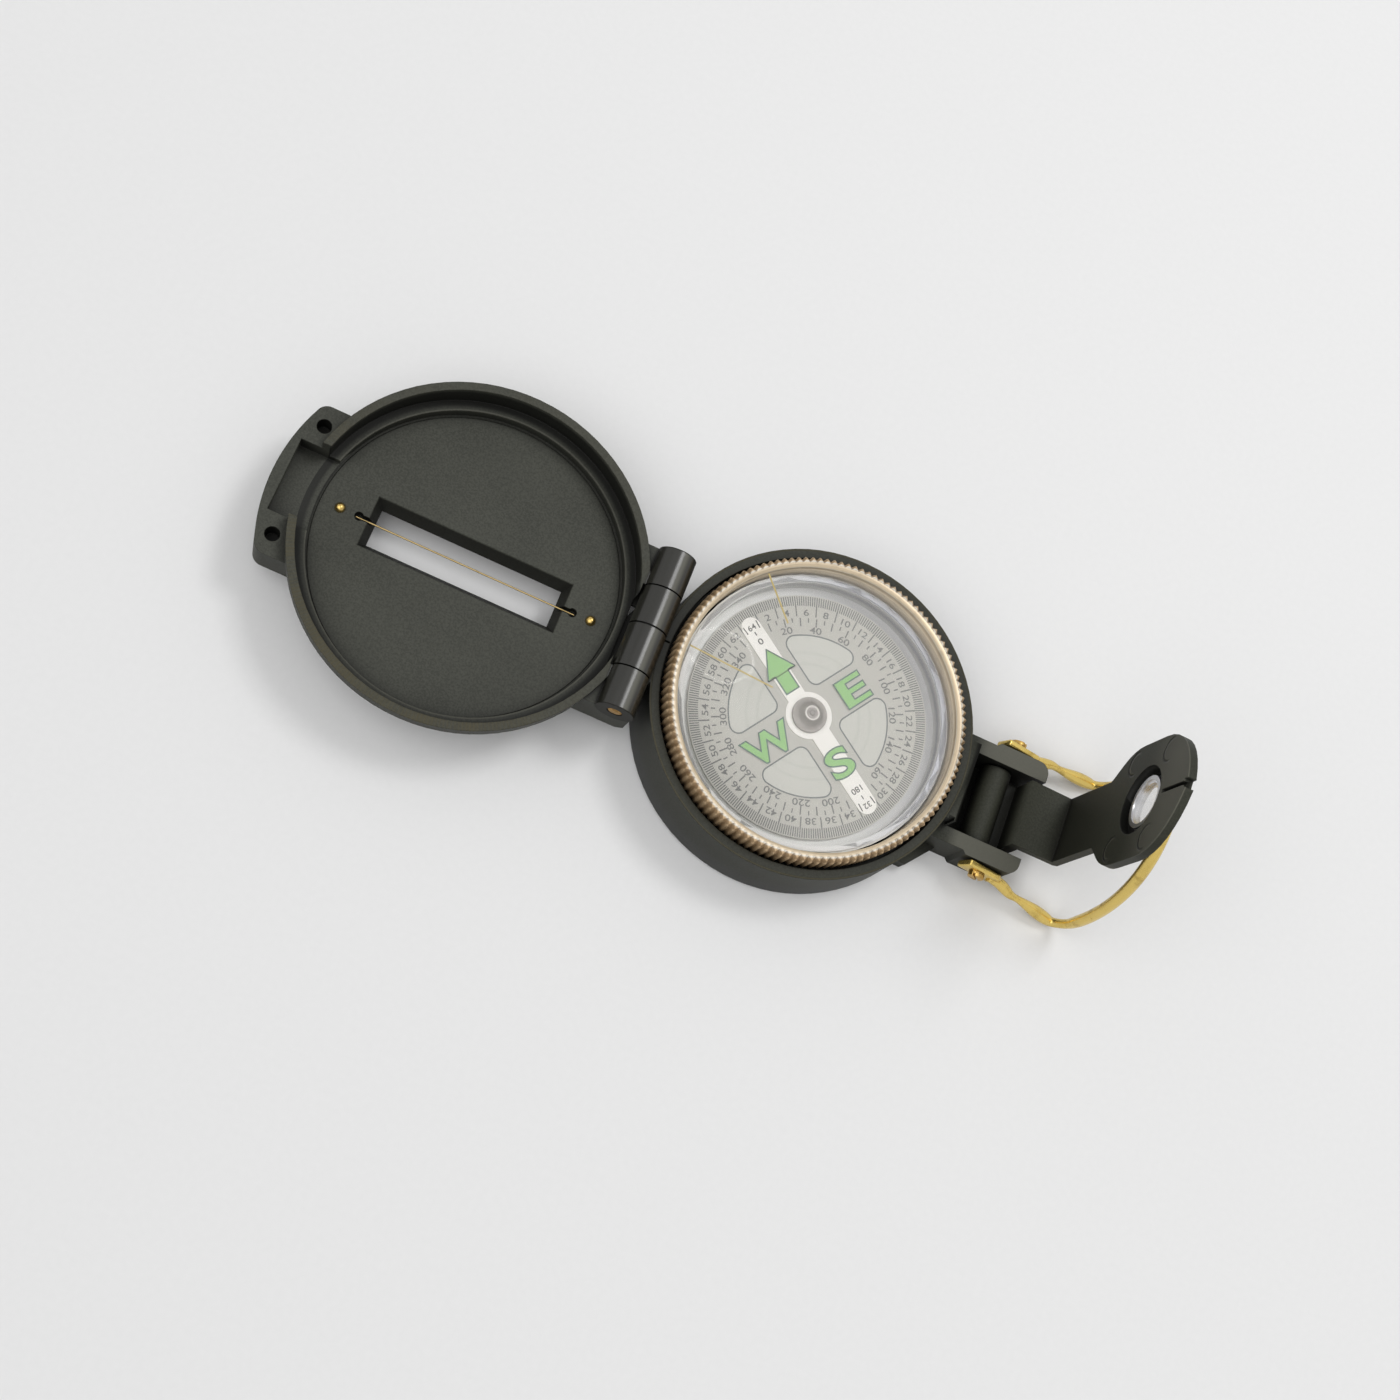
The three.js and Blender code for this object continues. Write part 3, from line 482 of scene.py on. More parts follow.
def case_marks(finish, x, y, z, colour):
    radius = finish.distance(x, y)
    line = radius.near(27.2 * mm, 0.2 * mm) * z.above(12.5 * mm, 0.1 * mm)
    upward = finish.facing("Z").above(0.85, 0.1)
    # Painted reflection of the floor along the case's foot, where the corners also get less painted shade.
    floor_reflection = radius.near(case_radius, 0.6 * mm) * x.below(24 * mm, 2 * mm) * z.below(4 * mm, 5 * mm)
    between_lugs = abs(y).below(8.6 * mm, 0.1 * mm) * x.above(case_radius, 0.3 * mm)
    # Painted shade in the well between the lugs.
    well_shade = between_lugs * (1 - upward * z.above(3.5 * mm, 0.3 * mm))
    # Painted highlight on the upward faces of the lugs.
    colour = finish.mix(upward * x.above(30 * mm, 1.5 * mm) * 0.55, colour, painted_highlight_grey)
    colour = finish.mix(floor_reflection * 0.25, colour, painted_reflection_grey)
    colour = finish.mix(well_shade * 0.7, colour, shade_and_groove_black)
    return finish.mix(line * 0.6, colour, dust_brown), line * 0.3, 1 - floor_reflection


def eyepiece_marks(finish, x, y, z, colour):
    above_lens = z - lens_level
    from_ring_y = abs(y) - ring_across
    from_ring_z = abs(above_lens) - ring_above
    # The small rings are drawn as painted shade with a painted highlight just inside, on their lower, lit
    # half only.
    lower_half = (from_ring_z * z.math("SIGN", above_lens)).below(0, 1.2 * mm)
    front = x.below(plate_front, 0.1 * mm)
    from_ring = finish.distance(from_ring_y, from_ring_z)
    rings = from_ring.near(2.0 * mm, 0.36 * mm) * front * lower_half
    ring_highlight = from_ring.near(1.7 * mm, 0.25 * mm) * front * lower_half
    # Painted shade in the recess round the lens, and on the low front faces.
    recess_shade = finish.distance(y, z, (0, lens_level)).below(5.8 * mm, 0.1 * mm)
    riser_shade = finish.facing("X").below(-0.85, 0.1) * z.below(20 * mm, 9 * mm)
    colour = finish.mix(riser_shade * 0.45, colour, shade_and_groove_black)
    # Painted highlight on the top of the plate.
    colour = finish.mix(front * z.above(41 * mm, 7 * mm) * 0.65, colour, painted_highlight_grey)
    colour = finish.mix(recess_shade * 0.9, colour, shade_and_groove_black)
    colour = finish.mix(ring_highlight * 0.75, colour, painted_ring_highlight)
    return finish.mix(rings * 0.95, colour, shade_and_groove_black), rings, 1


case_plastic = moulded("case_plastic", hexed("292a23"), hexed("3c3d36"), case_marks)
lid_plastic = moulded("lid_plastic", hexed("30312b"), hexed("464740"), lid_marks)
eyepiece_plastic = moulded("eyepiece_plastic", hexed("26271f"), hexed("37382f"), eyepiece_marks)

# %% [markdown]
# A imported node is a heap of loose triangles, so it can't be shaded smooth as it is. A copy of it is
# merged, its flat triangles are dissolved back into whole faces, and it then stands for the node. Weighted
# normals let the large faces decide, so that a flat floor stays flat up to its corners.

# %% Smooth copies of the moulded parts
def smooth_copy(node, name, material, body, slot, angle=30):
    copy = bpy.data.objects.new(name, nodes[node].data.copy())
    bpy.context.scene.collection.objects.link(copy)
    edit(copy)
    bpy.ops.mesh.select_all(action="SELECT")
    bpy.ops.mesh.remove_doubles(threshold=0.001 * mm)
    bpy.ops.mesh.dissolve_limited(angle_limit=math.radians(0.3))
    done()
    smooth(copy, angle)
    even = copy.modifiers.new("even", "WEIGHTED_NORMAL")
    even.keep_sharp = True
    apply_all(copy)
    return dress(copy, body, material, slot, node)


smooth_copy("case_shell", "case", case_plastic, "case", "black_plastic")
smooth_copy("lid_shell", "lid", lid_plastic, "lid", "black_plastic")
smooth_copy("eyepiece_bracket", "eyepiece", eyepiece_plastic, "eyepiece", "black_plastic")
print("moulded parts", 3)

# %% [markdown]
# Under the middle knuckles a thin sheet of the lid's black plastic fills the gap to the case and keeps it
# dark, apart from a small notch through which the table shows. It moves with the lid, and covers the
# knuckles when the lid is closed. Its outline is a flat shape that is extruded to its thickness.

# %% Skirt under the knuckles
skirt_left = -33.75
skirt_right = -30.4
skirt_end = 6.9
notch_top = 4.9
notch_bottom = 2.4
notch_depth = 1.15
skirt_level = 8.6
skirt_thickness = 0.7
skirt_outline = [
    (skirt_left, -skirt_end),
    (skirt_right, -skirt_end),
    (skirt_right, skirt_end),
    (skirt_left, skirt_end),
    (skirt_left, notch_top),
    (skirt_left + notch_depth, notch_top),
    (skirt_left, notch_bottom),
]
bpy.ops.mesh.primitive_circle_add(vertices=len(skirt_outline), radius=mm, fill_type="NGON")
skirt = bpy.context.object
skirt.name = "hinge_skirt"
for vertex, (along, across) in zip(skirt.data.vertices, skirt_outline):
    vertex.co = (along * mm, across * mm, skirt_level * mm)
edit(skirt)
bpy.ops.mesh.select_all(action="SELECT")
bpy.ops.mesh.extrude_region_move(TRANSFORM_OT_translate={"value": (0, 0, skirt_thickness * mm)})
done()
outward(skirt)
skirt_edge = skirt.modifiers.new("edge", "BEVEL")
skirt_edge.width = 0.08 * mm
apply_all(skirt)
settle(skirt)
dress(skirt, "lid", lid_plastic, "black_plastic")
print("skirt faces", len(skirt.data.polygons))

# %% [markdown]
# Metal is a colour, a roughness and scratches. Drawn wire has long fine scratches along it, so its noise
# is stretched. The bezel is plated a pale bronze, the loop is a yellow brass, and old brass darkens in
# small spots.

# %% Metals
def metal(name, colour, dark, roughness, scratch=(1, 1, 1), spots=0.3, plated=1.0):
    finish = Finish(name, Metallic=plated)
    fine = finish.noise(1800, detail=4, roughness=0.65, stretch=scratch)
    tarnish = finish.noise(420, detail=4, roughness=0.6).above(0.62, 0.1) * spots
    return finish.surface(
        Base_Color=finish.mix(tarnish + fine * 0.18, colour, dark),
        Roughness=roughness + fine * 0.2 - 0.1 + tarnish * 0.3,
        Normal=finish.bump(fine, 0.12, 0.02 * mm),
    )


broad_scratches = (0.25, 0.25, 0.25)
loop_brass = metal("loop_brass", hexed("e6ca73"), hexed("73551a"), 0.24, broad_scratches, 0.35, 0.85)
pin_brass = metal("pin_brass", hexed("a9823f"), hexed("5c3f18"), 0.4, spots=0.6)
screw_brass = metal("screw_brass", hexed("cfab62"), hexed("6e4c1e"), 0.32, spots=0.5)
bead_brass = metal("bead_brass", hexed("cdb06a"), hexed("7a5c2c"), 0.28)
wire_brass = metal("wire_brass", hexed("b39c6c"), hexed("5f4d2c"), 0.35)
bright_steel = metal("bright_steel", hexed("c9c9cc"), hexed("77777a"), 0.25)
grey_trim = metal("grey_trim", hexed("d2d2d4"), hexed("808084"), 0.3)

# %% [markdown]
# The bezel's knurl is a ring of 128 upright ridges. The ring is spun from its section with two columns of
# vertices for each ridge, so that every second column can be drawn in to make the valleys. The ridges then
# end in a row of small points.

# %% Bezel section
bezel_low, bezel_high = (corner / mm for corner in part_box("bezel_ring"))
bezel_radius = bezel_high.x
bezel_bottom = bezel_low.z
bezel_top = bezel_high.z
ridge_count = 128
ridge_depth = 0.44
bore_radius = bezel_radius - 1.76
point_drop = 0.3

bezel_section = [
    (bore_radius, bezel_bottom),
    (bezel_radius - 0.35, bezel_bottom),
    (bezel_radius, bezel_bottom + 0.4),
    (bezel_radius, bezel_top - 1.0),
    (bezel_radius - 0.2, bezel_top - 0.45),
    (bezel_radius - 0.6, bezel_top - 0.1),
    (bezel_radius - 1.22, bezel_top),
    (bezel_radius - 1.4, bezel_top - 0.1),
    (bore_radius + 0.1, bezel_top - 0.3),
    (bore_radius, bezel_top - 0.5),
]
bezel = lathe("bezel", bezel_section, 2 * ridge_count)
print("bezel columns", 2 * ridge_count)

# %% [markdown]
# The plating is a pale bronze, a little deeper on the teeth, with fine rings from turning and small dark
# tarnish spots. Painted shade darkens the valleys of the knurl, a darker band lies inside the lip and on
# the bore, and a painted white highlight runs round the lip and along the bore.

# %% Bezel metal
# Dark bronze for painted shade in the knurl's valleys and for tarnish spots.
shade_and_tarnish_bronze = hexed("5c4222")
mid_bronze = hexed("b8935f")
dull_bronze = hexed("9a7c54")
# Painted highlight white.
painted_highlight_white = hexed("fffaf0")


def bezel_finish():
    finish = Finish("bezel_metal", Metallic=0.55)
    x, y, z = finish.axes()
    radius = finish.distance(x, y)
    turned = finish.node("ShaderNodeCombineXYZ", sockets={"X": radius, "Y": z})
    rings = finish.node("ShaderNodeTexNoise", sockets={"Vector": turned, "Scale": 2600, "Detail": 3})
    spots = finish.noise(420, detail=4).above(0.62, 0.1)
    # Painted shade in the valleys of the knurl.
    valley_shade = radius.below((bezel_radius - 0.22) * mm, 0.12 * mm)
    valley_shade = valley_shade * z.below((bezel_top - 0.3) * mm, 0.15 * mm)
    valley_shade = valley_shade * radius.above((bezel_radius - 1.1) * mm, 0.1 * mm)
    bore = radius.below((bore_radius + 0.1) * mm, 0.05 * mm)
    # A darker band inside the lip and on the bore, and a painted highlight ring on each.
    bore_dark_band = bore * z.near((bezel_top - 1.3) * mm, 0.7 * mm)
    bore_highlight = bore * z.near((bezel_top - 0.75) * mm, 0.25 * mm)
    dark_band = radius.near((bezel_radius - 1.5) * mm, 0.35 * mm) + bore_dark_band
    highlight_ring = radius.near((bezel_radius - 0.95) * mm, 0.22 * mm) + bore_highlight
    teeth = radius.above((bezel_radius - 0.75) * mm, 0.15 * mm)
    colour = finish.mix(teeth, hexed("fbedd3"), hexed("e2c59e"))
    colour = finish.mix(rings.above(0.5, 0.25) * 0.3, colour, mid_bronze)
    colour = finish.mix(highlight_ring * 0.9, colour, painted_highlight_white)
    colour = finish.mix(dark_band * 0.35, colour, dull_bronze)
    colour = finish.mix(valley_shade * 0.62 + spots * 0.15, colour, shade_and_tarnish_bronze)
    return finish.surface(
        Base_Color=colour,
        Roughness=0.24 + rings * 0.2 + valley_shade * 0.2,
        Normal=finish.bump(rings, 0.15, 0.03 * mm),
    )


# %% [markdown]
# Now every second column of the ring is drawn in and lowered at its top, and the finished bezel takes the
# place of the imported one.

# %% Ridges and points
def in_valley(spot):
    turn = math.atan2(spot.y, spot.x) / (2 * math.pi) * 2 * ridge_count
    return round(turn) % 2 == 1 and spot.xy.length > (bezel_radius - 0.8) * mm


def on_valley_top(spot):
    """True near the top of a valley that has already been drawn in."""
    return in_valley(spot + spot.normalized() * ridge_depth * mm) and spot.z > (bezel_top - 0.7) * mm


edit(bezel)
choose(bezel, in_valley)
valley = 1 - ridge_depth / bezel_radius
bpy.ops.transform.resize(value=(valley, valley, 1), center_override=(0, 0, 0))
choose(bezel, on_valley_top)
bpy.ops.transform.translate(value=(0, 0, -point_drop * mm))
done()
smooth(bezel, 38)
dress(bezel, "bezel", bezel_finish(), "bezel_metal", "bezel_ring")
print("bezel ridges", ridge_count, "faces", len(bezel.data.polygons))

# %% [markdown]
# The covers are clear and a little hazy. A clear piece that really refracts throws a dark shadow on the
# dial under it, so each cover is a faint veil instead: a few hundredths of Alpha, more of it where the
# surface is seen at a slant.

# %% Clear covers
def clear(name, haze, reach):
    """A cover's finish and its veil, which ends at the reach in mm, so that the cover's wall is clear."""
    finish = Finish(name, Roughness=0.1, Metallic=0.2, Base_Color=hexed("efede8"))
    x, y, z = finish.axes()
    slant = finish.node("ShaderNodeFresnel", sockets={"IOR": 1.49})
    cloud = finish.noise(140, detail=3)
    face = finish.distance(x, y).below(reach * mm, 0.1 * mm)
    return finish, face * (slant * 0.25 + haze * (cloud + 0.5))


def crystal_finish():
    finish, veil = clear("crystal_plastic", 0.006, bore_radius - 0.4)
    return finish.surface(Alpha=veil)


crystal_top = bezel_top - 0.4
crystal_bottom = crystal_top - 1.1
crystal_radius = bore_radius - 0.05
crystal_section = [
    (0, crystal_top),
    (crystal_radius - 0.2, crystal_top),
    (crystal_radius, crystal_top - 0.2),
    (crystal_radius, crystal_bottom),
    (0, crystal_bottom),
]
crystal = lathe("crystal", crystal_section, 160)
smooth(crystal, 30)
dress(crystal, "bezel", crystal_finish(), "clear_plastic", "bezel_crystal")

# %% [markdown]
# The capsule's own cover lies under the crystal. A bubble in the liquid shows as a faint uneven ring near
# the hinge.

# %% Capsule cover
cover_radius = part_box("capsule_cover")[1].x / mm
bubble_middle = (-17.2 * mm, 2.2 * mm)
bubble_size = 5.0 * mm


def cover_finish():
    finish, veil = clear("cover_plastic", 0.006, cover_radius - 0.25)
    x, y, z = finish.axes()
    ripple = finish.noise(260, detail=1) * 1.6 * mm
    bubble = finish.distance(x * 0.8, y, (bubble_middle[0] * 0.8, bubble_middle[1])) + ripple
    ring = bubble.near(bubble_size, 0.35 * mm) * z.below(13 * mm, 0.2 * mm)
    return finish.surface(Alpha=veil + ring * 0.07)


cover = smooth_copy("capsule_cover", "cover", cover_finish(), "case", "clear_plastic")
print("cover faces", len(cover.data.polygons))

# %% [markdown]
# The lens is small and strongly curved, so it gathers the light of the whole room: its near white is a
# painted reflection, and a tan streak at one side is a painted reflection of brass.

# %% Lens
def lens_finish():
    finish = Finish("lens_clear", Roughness=0.05)
    x, y, z = finish.axes()
    slant = finish.node("ShaderNodeFresnel", sockets={"IOR": 1.5})
    cloud = finish.noise(200, detail=1)
    # Painted reflections: the lens is near white, with a tan streak of brass at one side.
    streak = (y - (z - lens_level) * 0.25).near(3.3 * mm, 0.8 * mm)
    colour = finish.mix(cloud * 0.2, hexed("ffffff"), hexed("e2e3e5"))
    return finish.surface(
        Base_Color=finish.mix(streak * 0.9, colour, hexed("c2a566")),
        Alpha=slant * 0.15 + 0.06 + cloud * 0.04 + streak * 0.6,
    )


lens = smooth_copy("lens_glass", "lens", lens_finish(), "eyepiece", "lens_glass")
print("lens faces", len(lens.data.polygons))

# %% [markdown]
# The capsule's wall is a pale translucent plastic. On the far side, where the wall is seen face on, it is
# darker with painted shade, with a cool grey band of painted shade near the top. A narrow step inside it
# runs under the dial's edge.

# %% Capsule
def far_side(x, y):
    """1 on the side away from the camera, where the inner wall is seen and painted shade falls, 0 near it.
    """
    return (x * 0.75 + y * 0.66).above(4 * mm, 13 * mm)


def capsule_finish():
    finish = Finish("capsule_plastic", Roughness=0.3)
    x, y, z = finish.axes()
    far = far_side(x, y)
    streak = finish.noise(120, detail=2, stretch=(1, 1, 4))
    # Painted shade: the far side is darker, with a cool grey band near its top.
    top_band_shade = z.near(10.9 * mm, 1.5 * mm) * far * (0.6 + streak * 0.5)
    colour = finish.mix(far, hexed("cbcbc7"), hexed("aaaaab"))
    return finish.surface(Base_Color=finish.mix(top_band_shade, colour, hexed("50515f")))


pale_plastic = capsule_finish()
smooth_copy("capsule_cup", "capsule", pale_plastic, "case", "pale_plastic")

ledge_inner = 19.2
ledge_outer = 22.0
ledge_bottom = 8.3
ledge_top = 9.1
ledge_section = [
    (ledge_inner, ledge_bottom),
    (ledge_outer, ledge_bottom),
    (ledge_outer, ledge_top),
    (ledge_outer - 0.3, ledge_top - 0.1),
    (ledge_inner, ledge_top - 0.15),
]
ledge = lathe("capsule_ledge", ledge_section, 160)
smooth(ledge, 30)
dress(ledge, "case", pale_plastic, "pale_plastic")


def seal_finish():
    finish = Finish("seal_silicone", Roughness=0.35)
    x, y, z = finish.axes()
    # Painted shade: the seal is darker and cooler on the far side.
    colour = finish.mix(far_side(x, y), hexed("cdcdcb"), hexed("a5a8b3"))
    return finish.surface(Base_Color=finish.mix(finish.noise(900) * 0.15, colour, hexed("ececec")))


smooth_copy("capsule_seal", "seal", seal_finish(), "case", "seal_rubber")
print("ledge faces", len(ledge.data.polygons))

# %% [markdown]
# The dial is a pale card with a white bar across it. Everything on it is print, which is modelled as flat
# faces just above the card, because a crisp tick needs no picture. The card's north points back and to
# the left, so each mark is placed by its bearing: the angle clockwise from north.

# %% Dial card and bar
def printed(name, colour, mottle=0.12, roughness=0.6):
    finish = Finish(name, Roughness=roughness)
    flecks = finish.noise(3800, detail=2)
    darker = tuple(part * (1 - mottle) for part in colour[:3]) + (1.0,)
    return finish.surface(Base_Color=finish.mix(flecks.above(0.5, 0.3), colour, darker))


card_stock = printed("card_stock", hexed("b1afa7"), mottle=0.1)
bar_white = printed("bar_white", hexed("ece9e3"), mottle=0.05)
ink = printed("ink", hexed("5c5e5c"), mottle=0.25)
ink_dark = printed("ink_dark", hexed("3c3936"), mottle=0.25)
letter_green = printed("letter_green", hexed("7fb865"), mottle=0.08)
letter_edge = printed("letter_edge", hexed("35594a"), mottle=0.15)
glow_tan = printed("glow_tan", hexed("b9a668"))

smooth_copy("dial_card", "card", card_stock, "dial", "dial_card")
smooth_copy("needle_bar", "needle", bar_white, "dial", "white_plastic")

north = math.radians(145.2)
card_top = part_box("dial_card")[1].z / mm
bar_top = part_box("needle_bar")[1].z / mm
ink_lift = 0.015
print("card and bar tops in mm", round(card_top, 2), round(bar_top, 2))


def bearing(degrees):
    """The direction of a bearing, counterclockwise from +X, in radians."""
    return north - math.radians(degrees)


# %% [markdown]
# A ring of ticks is one thin rectangle that is spun round the centre as copies. The outer band has a tick
# for every 20 mils, of which 6400 make a full turn, and the inner ones count degrees.

# %% Tick rings
def tick_ring(name, count, inner, outer, width, first, height=None):
    bpy.ops.mesh.primitive_plane_add(size=1, location=((inner + outer) / 2 * mm, 0, 0))
    tick = bpy.context.object
    tick.scale = ((outer - inner) * mm, width * mm, 1)
    settle(tick)
    tick.rotation_euler.z = bearing(first)
    tick.location.z = (height or card_top) * mm + ink_lift * mm
    settle(tick)
    edit(tick)
    bpy.ops.mesh.select_all(action="SELECT")
    bpy.ops.mesh.spin(steps=count, angle=2 * math.pi, dupli=True, center=(0, 0, 0), axis=(0, 0, 1))
    bpy.ops.mesh.select_all(action="SELECT")
    bpy.ops.mesh.remove_doubles(threshold=0.002 * mm)
    done()
    tick.name = name
    return tick


band_outer = 20.2
band_inner = 18.6
hundreds_inner = 16.8
degrees_outer = 16.5
fives_inner = 15.75
tens_inner = 15.08

mil_band = tick_ring("mil_band", 320, band_inner, band_outer, 0.19, 0)
mil_long = tick_ring("mil_long", 32, hundreds_inner, band_inner, 0.23, 360 / 64)
ten_degrees = tick_ring("ten_degrees", 36, tens_inner, degrees_outer, 0.24, 0)
five_degrees = tick_ring("five_degrees", 36, fives_inner, degrees_outer, 0.22, 5)
ticks = merged([mil_band, mil_long, ten_degrees, five_degrees], "ticks")
dress(ticks, "dial", ink, "dial_card")
print("ticks", len(ticks.data.polygons))

# %% [markdown]
# Numbers are text objects that are turned into meshes. Each one stands with its top to the rim.

# %% Numbers
def number(text, radius, degrees, size, height, stretch=1.3):
    bpy.ops.object.text_add()
    label = bpy.context.object
    label.data.body = text
    label.data.size = size * mm
    label.data.align_x = "CENTER"
    label.data.align_y = "CENTER"
    label.data.offset = 0.014 * size * mm
    bpy.ops.object.convert(target="MESH")
    label = bpy.context.object
    angle = bearing(degrees)
    label.scale = (stretch, 1, 1)
    settle(label)
    label.rotation_euler.z = angle - math.pi / 2
    label.location = (radius * mm * math.cos(angle), radius * mm * math.sin(angle),
                      (height + ink_lift) * mm)
    return settle(label)


degree_radius = 14.42
degree_size = 1.6
mil_radius = 17.38
mil_size = 1.55
card_labels = []
for degrees in range(20, 360, 20):
    if degrees != 180:
        card_labels.append(number(str(degrees), degree_radius, degrees, degree_size, card_top))
for hundreds in range(2, 64, 2):
    if hundreds != 32:
        card_labels.append(number(str(hundreds), mil_radius, hundreds * 360 / 64, mil_size, card_top))
numbers = merged(card_labels, "numbers")
dress(numbers, "dial", ink, "dial_card")

bar_labels = [
    number("0", 14.3, 0, 1.45, bar_top),
    number("64", 17.0, 0, 1.35, bar_top, 1.1),
    number("180", 14.3, 180, 1.4, bar_top, 1.1),
    number("32", 17.3, 180, 1.35, bar_top, 1.1),
]
for outside in (-4.2, 4.2):
    bar_labels.append(tick_ring("bar_tick", 2, 16.4, 17.8, 0.2, outside, bar_top))
bar_labels.append(tick_ring("bar_tick", 2, 15.5, 16.2, 0.2, 0, bar_top))
bar_numbers = merged(bar_labels, "bar_numbers")
dress(bar_numbers, "dial", ink_dark, "white_plastic")
print("numbers", len(card_labels), "on the card and", len(bar_labels), "marks on the bar")

# %% [markdown]
# The four windows of the card are quarter sectors with round corners. Such a shape is a smaller sector
# with sharp corners, grown on all sides by the corner's radius: a point of the outline is the place on
# the small sector that lies farthest in one direction, moved by the radius in that direction.

# %% Sector windows
window_outer = 13.7
window_offset = 3.3
window_round = 1.6
window_edge = 0.25


def window_point(turn):
    core_outer = window_outer - window_round
    core_offset = window_offset + window_round
    core_reach = math.sqrt(core_outer ** 2 - core_offset ** 2)
    first = math.atan2(core_offset, core_reach)
    outward_step = Vector((math.cos(turn), math.sin(turn), 0))
    if first <= turn <= math.pi / 2 - first:
        place = outward_step * core_outer
    elif math.pi / 2 - first < turn < math.pi:
        place = Vector((core_offset, core_reach, 0))
    elif math.pi <= turn < 1.5 * math.pi:
        place = Vector((core_offset, core_offset, 0))
    else:
        place = Vector((core_reach, core_offset, 0))
    return place + outward_step * window_round


def window_finish():
    finish = Finish("window_field", Roughness=0.5)
    x, y, z = finish.axes()
    radius = finish.distance(x, y)
    flecks = finish.noise(3800, detail=2)
    arcs = radius.near(8.7 * mm, 0.5 * mm) + radius.near(10.6 * mm, 0.4 * mm)
    colour = finish.mix(flecks.above(0.5, 0.3), hexed("bcbcb4"), hexed("b0b0a8"))
    return finish.surface(Base_Color=finish.mix(arcs * 0.25, colour, hexed("989990")))


window_field = window_finish()
window_line = printed("window_line", hexed("535a59"))


def sector(quarter):
    count = 160
    bpy.ops.mesh.primitive_circle_add(vertices=count, radius=mm, fill_type="NGON")
    shape = bpy.context.object
    for index, vertex in enumerate(shape.data.vertices):
        vertex.co = window_point(2 * math.pi * (index + 0.5) / count) * mm
    edit(shape, "FACE")
    bpy.ops.mesh.select_all(action="SELECT")
    bpy.ops.mesh.normals_make_consistent(inside=False)
    bpy.ops.mesh.inset(thickness=window_edge * mm)
    done()
    field = max(shape.data.polygons, key=lambda face: face.area)
    shape.data.materials.append(window_line)
    shape.data.materials.append(window_field)
    field.material_index = 1
    shape.rotation_euler.z = bearing(90 * quarter + 90)
    shape.location.z = (card_top + ink_lift) * mm
    return settle(shape)


windows = merged([sector(quarter) for quarter in range(4)], "windows")
dress(windows, "dial", None, "dial_card")
print("window faces", len(windows.data.polygons))

# %% [markdown]
# The three letters and the arrow are a soft green with a darker edge. A letter is text made bold and
# scaled to its printed width and height. The arrow starts as the rectangle of its shaft, whose front
# edge is extruded into the wings and then to the tip.

# %% Letters and arrow
rim_width = 0.24


def placed_print(shape, along, across):
    """Moves a flat shape to its place, measured along north and across to the east."""
    turn = Matrix.Rotation(north - math.pi / 2, 4, "Z")
    spot = turn @ Vector((across * mm, along * mm, (bar_top + 2 * ink_lift) * mm))
    shape.matrix_world = Matrix.Translation(spot) @ turn
    return settle(shape)


def edged(shape):
    """Gives a flat shape a rim of the edge colour round the green."""
    shape.data.materials.append(letter_green)
    shape.data.materials.append(letter_edge)
    edit(shape, "FACE")
    bpy.ops.mesh.select_all(action="SELECT")
    bpy.ops.mesh.inset(thickness=rim_width * mm)
    bpy.ops.mesh.select_all(action="INVERT")
    shape.active_material_index = 1
    bpy.ops.object.material_slot_assign()
    done()


def letter(text, along, across, width, height):
    """A letter whose middle lies along north and across to the east, upright towards north."""
    bpy.ops.object.text_add()
    glyph = bpy.context.object
    glyph.data.body = text
    glyph.data.size = 6 * mm
    glyph.data.offset = 0.28 * mm
    glyph.data.resolution_u = 6
    bpy.ops.object.convert(target="MESH")
    glyph = bpy.context.object
    edit(glyph)
    bpy.ops.mesh.select_all(action="SELECT")
    bpy.ops.mesh.remove_doubles(threshold=0.002 * mm)
    bpy.ops.mesh.dissolve_limited(angle_limit=math.radians(0.5))
    done()
    low = Vector([min(vertex.co[i] for vertex in glyph.data.vertices) for i in range(3)])
    high = Vector([max(vertex.co[i] for vertex in glyph.data.vertices) for i in range(3)])
    glyph.location = -(low + high) / 2
    settle(glyph)
    glyph.scale = (width * mm / (high.x - low.x), height * mm / (high.y - low.y), 1)
    settle(glyph)
    edged(glyph)
    return placed_print(glyph, along, across)


def arrow(base, neck, tip, shaft_half, wing_half):
    bpy.ops.mesh.primitive_plane_add(size=1)
    shape = bpy.context.object
    shape.scale = (2 * shaft_half * mm, (neck - base) * mm, 1)
    shape.location.y = (base + neck) / 2 * mm
    settle(shape)
    edit(shape)
    choose(shape, lambda co: co.y > (neck - 0.01) * mm)
    bpy.ops.mesh.extrude_edges_move(TRANSFORM_OT_translate={"value": (0, -0.12 * mm, 0)})
    spread = wing_half / shaft_half
    bpy.ops.transform.resize(value=(spread, 1, 1), center_override=(0, 0, 0))
    bpy.ops.mesh.extrude_edges_move(TRANSFORM_OT_translate={"value": (0, (tip - neck + 0.12) * mm, 0)})
    bpy.ops.transform.resize(value=(0.02, 1, 1), center_override=(0, 0, 0))
    done()
    edged(shape)
    return placed_print(shape, 0, 0)


green_marks = merged([
    letter("E", -0.35, 9.1, 5.3, 5.1),
    letter("W", -0.5, -8.5, 9.4, 5.1),
    letter("S", -9.2, 0.0, 4.8, 5.3),
    arrow(4.65, 8.3, 12.9, 1.4, 2.85),
], "green_marks")
dress(green_marks, "dial", None, "white_plastic")
print("green faces", len(green_marks.data.polygons))

# %% [markdown]
# Two tan luminous lines cross the covers: a long one fixed to the case, which points at the lid's hinge,
# and a short one that turns with the bezel.

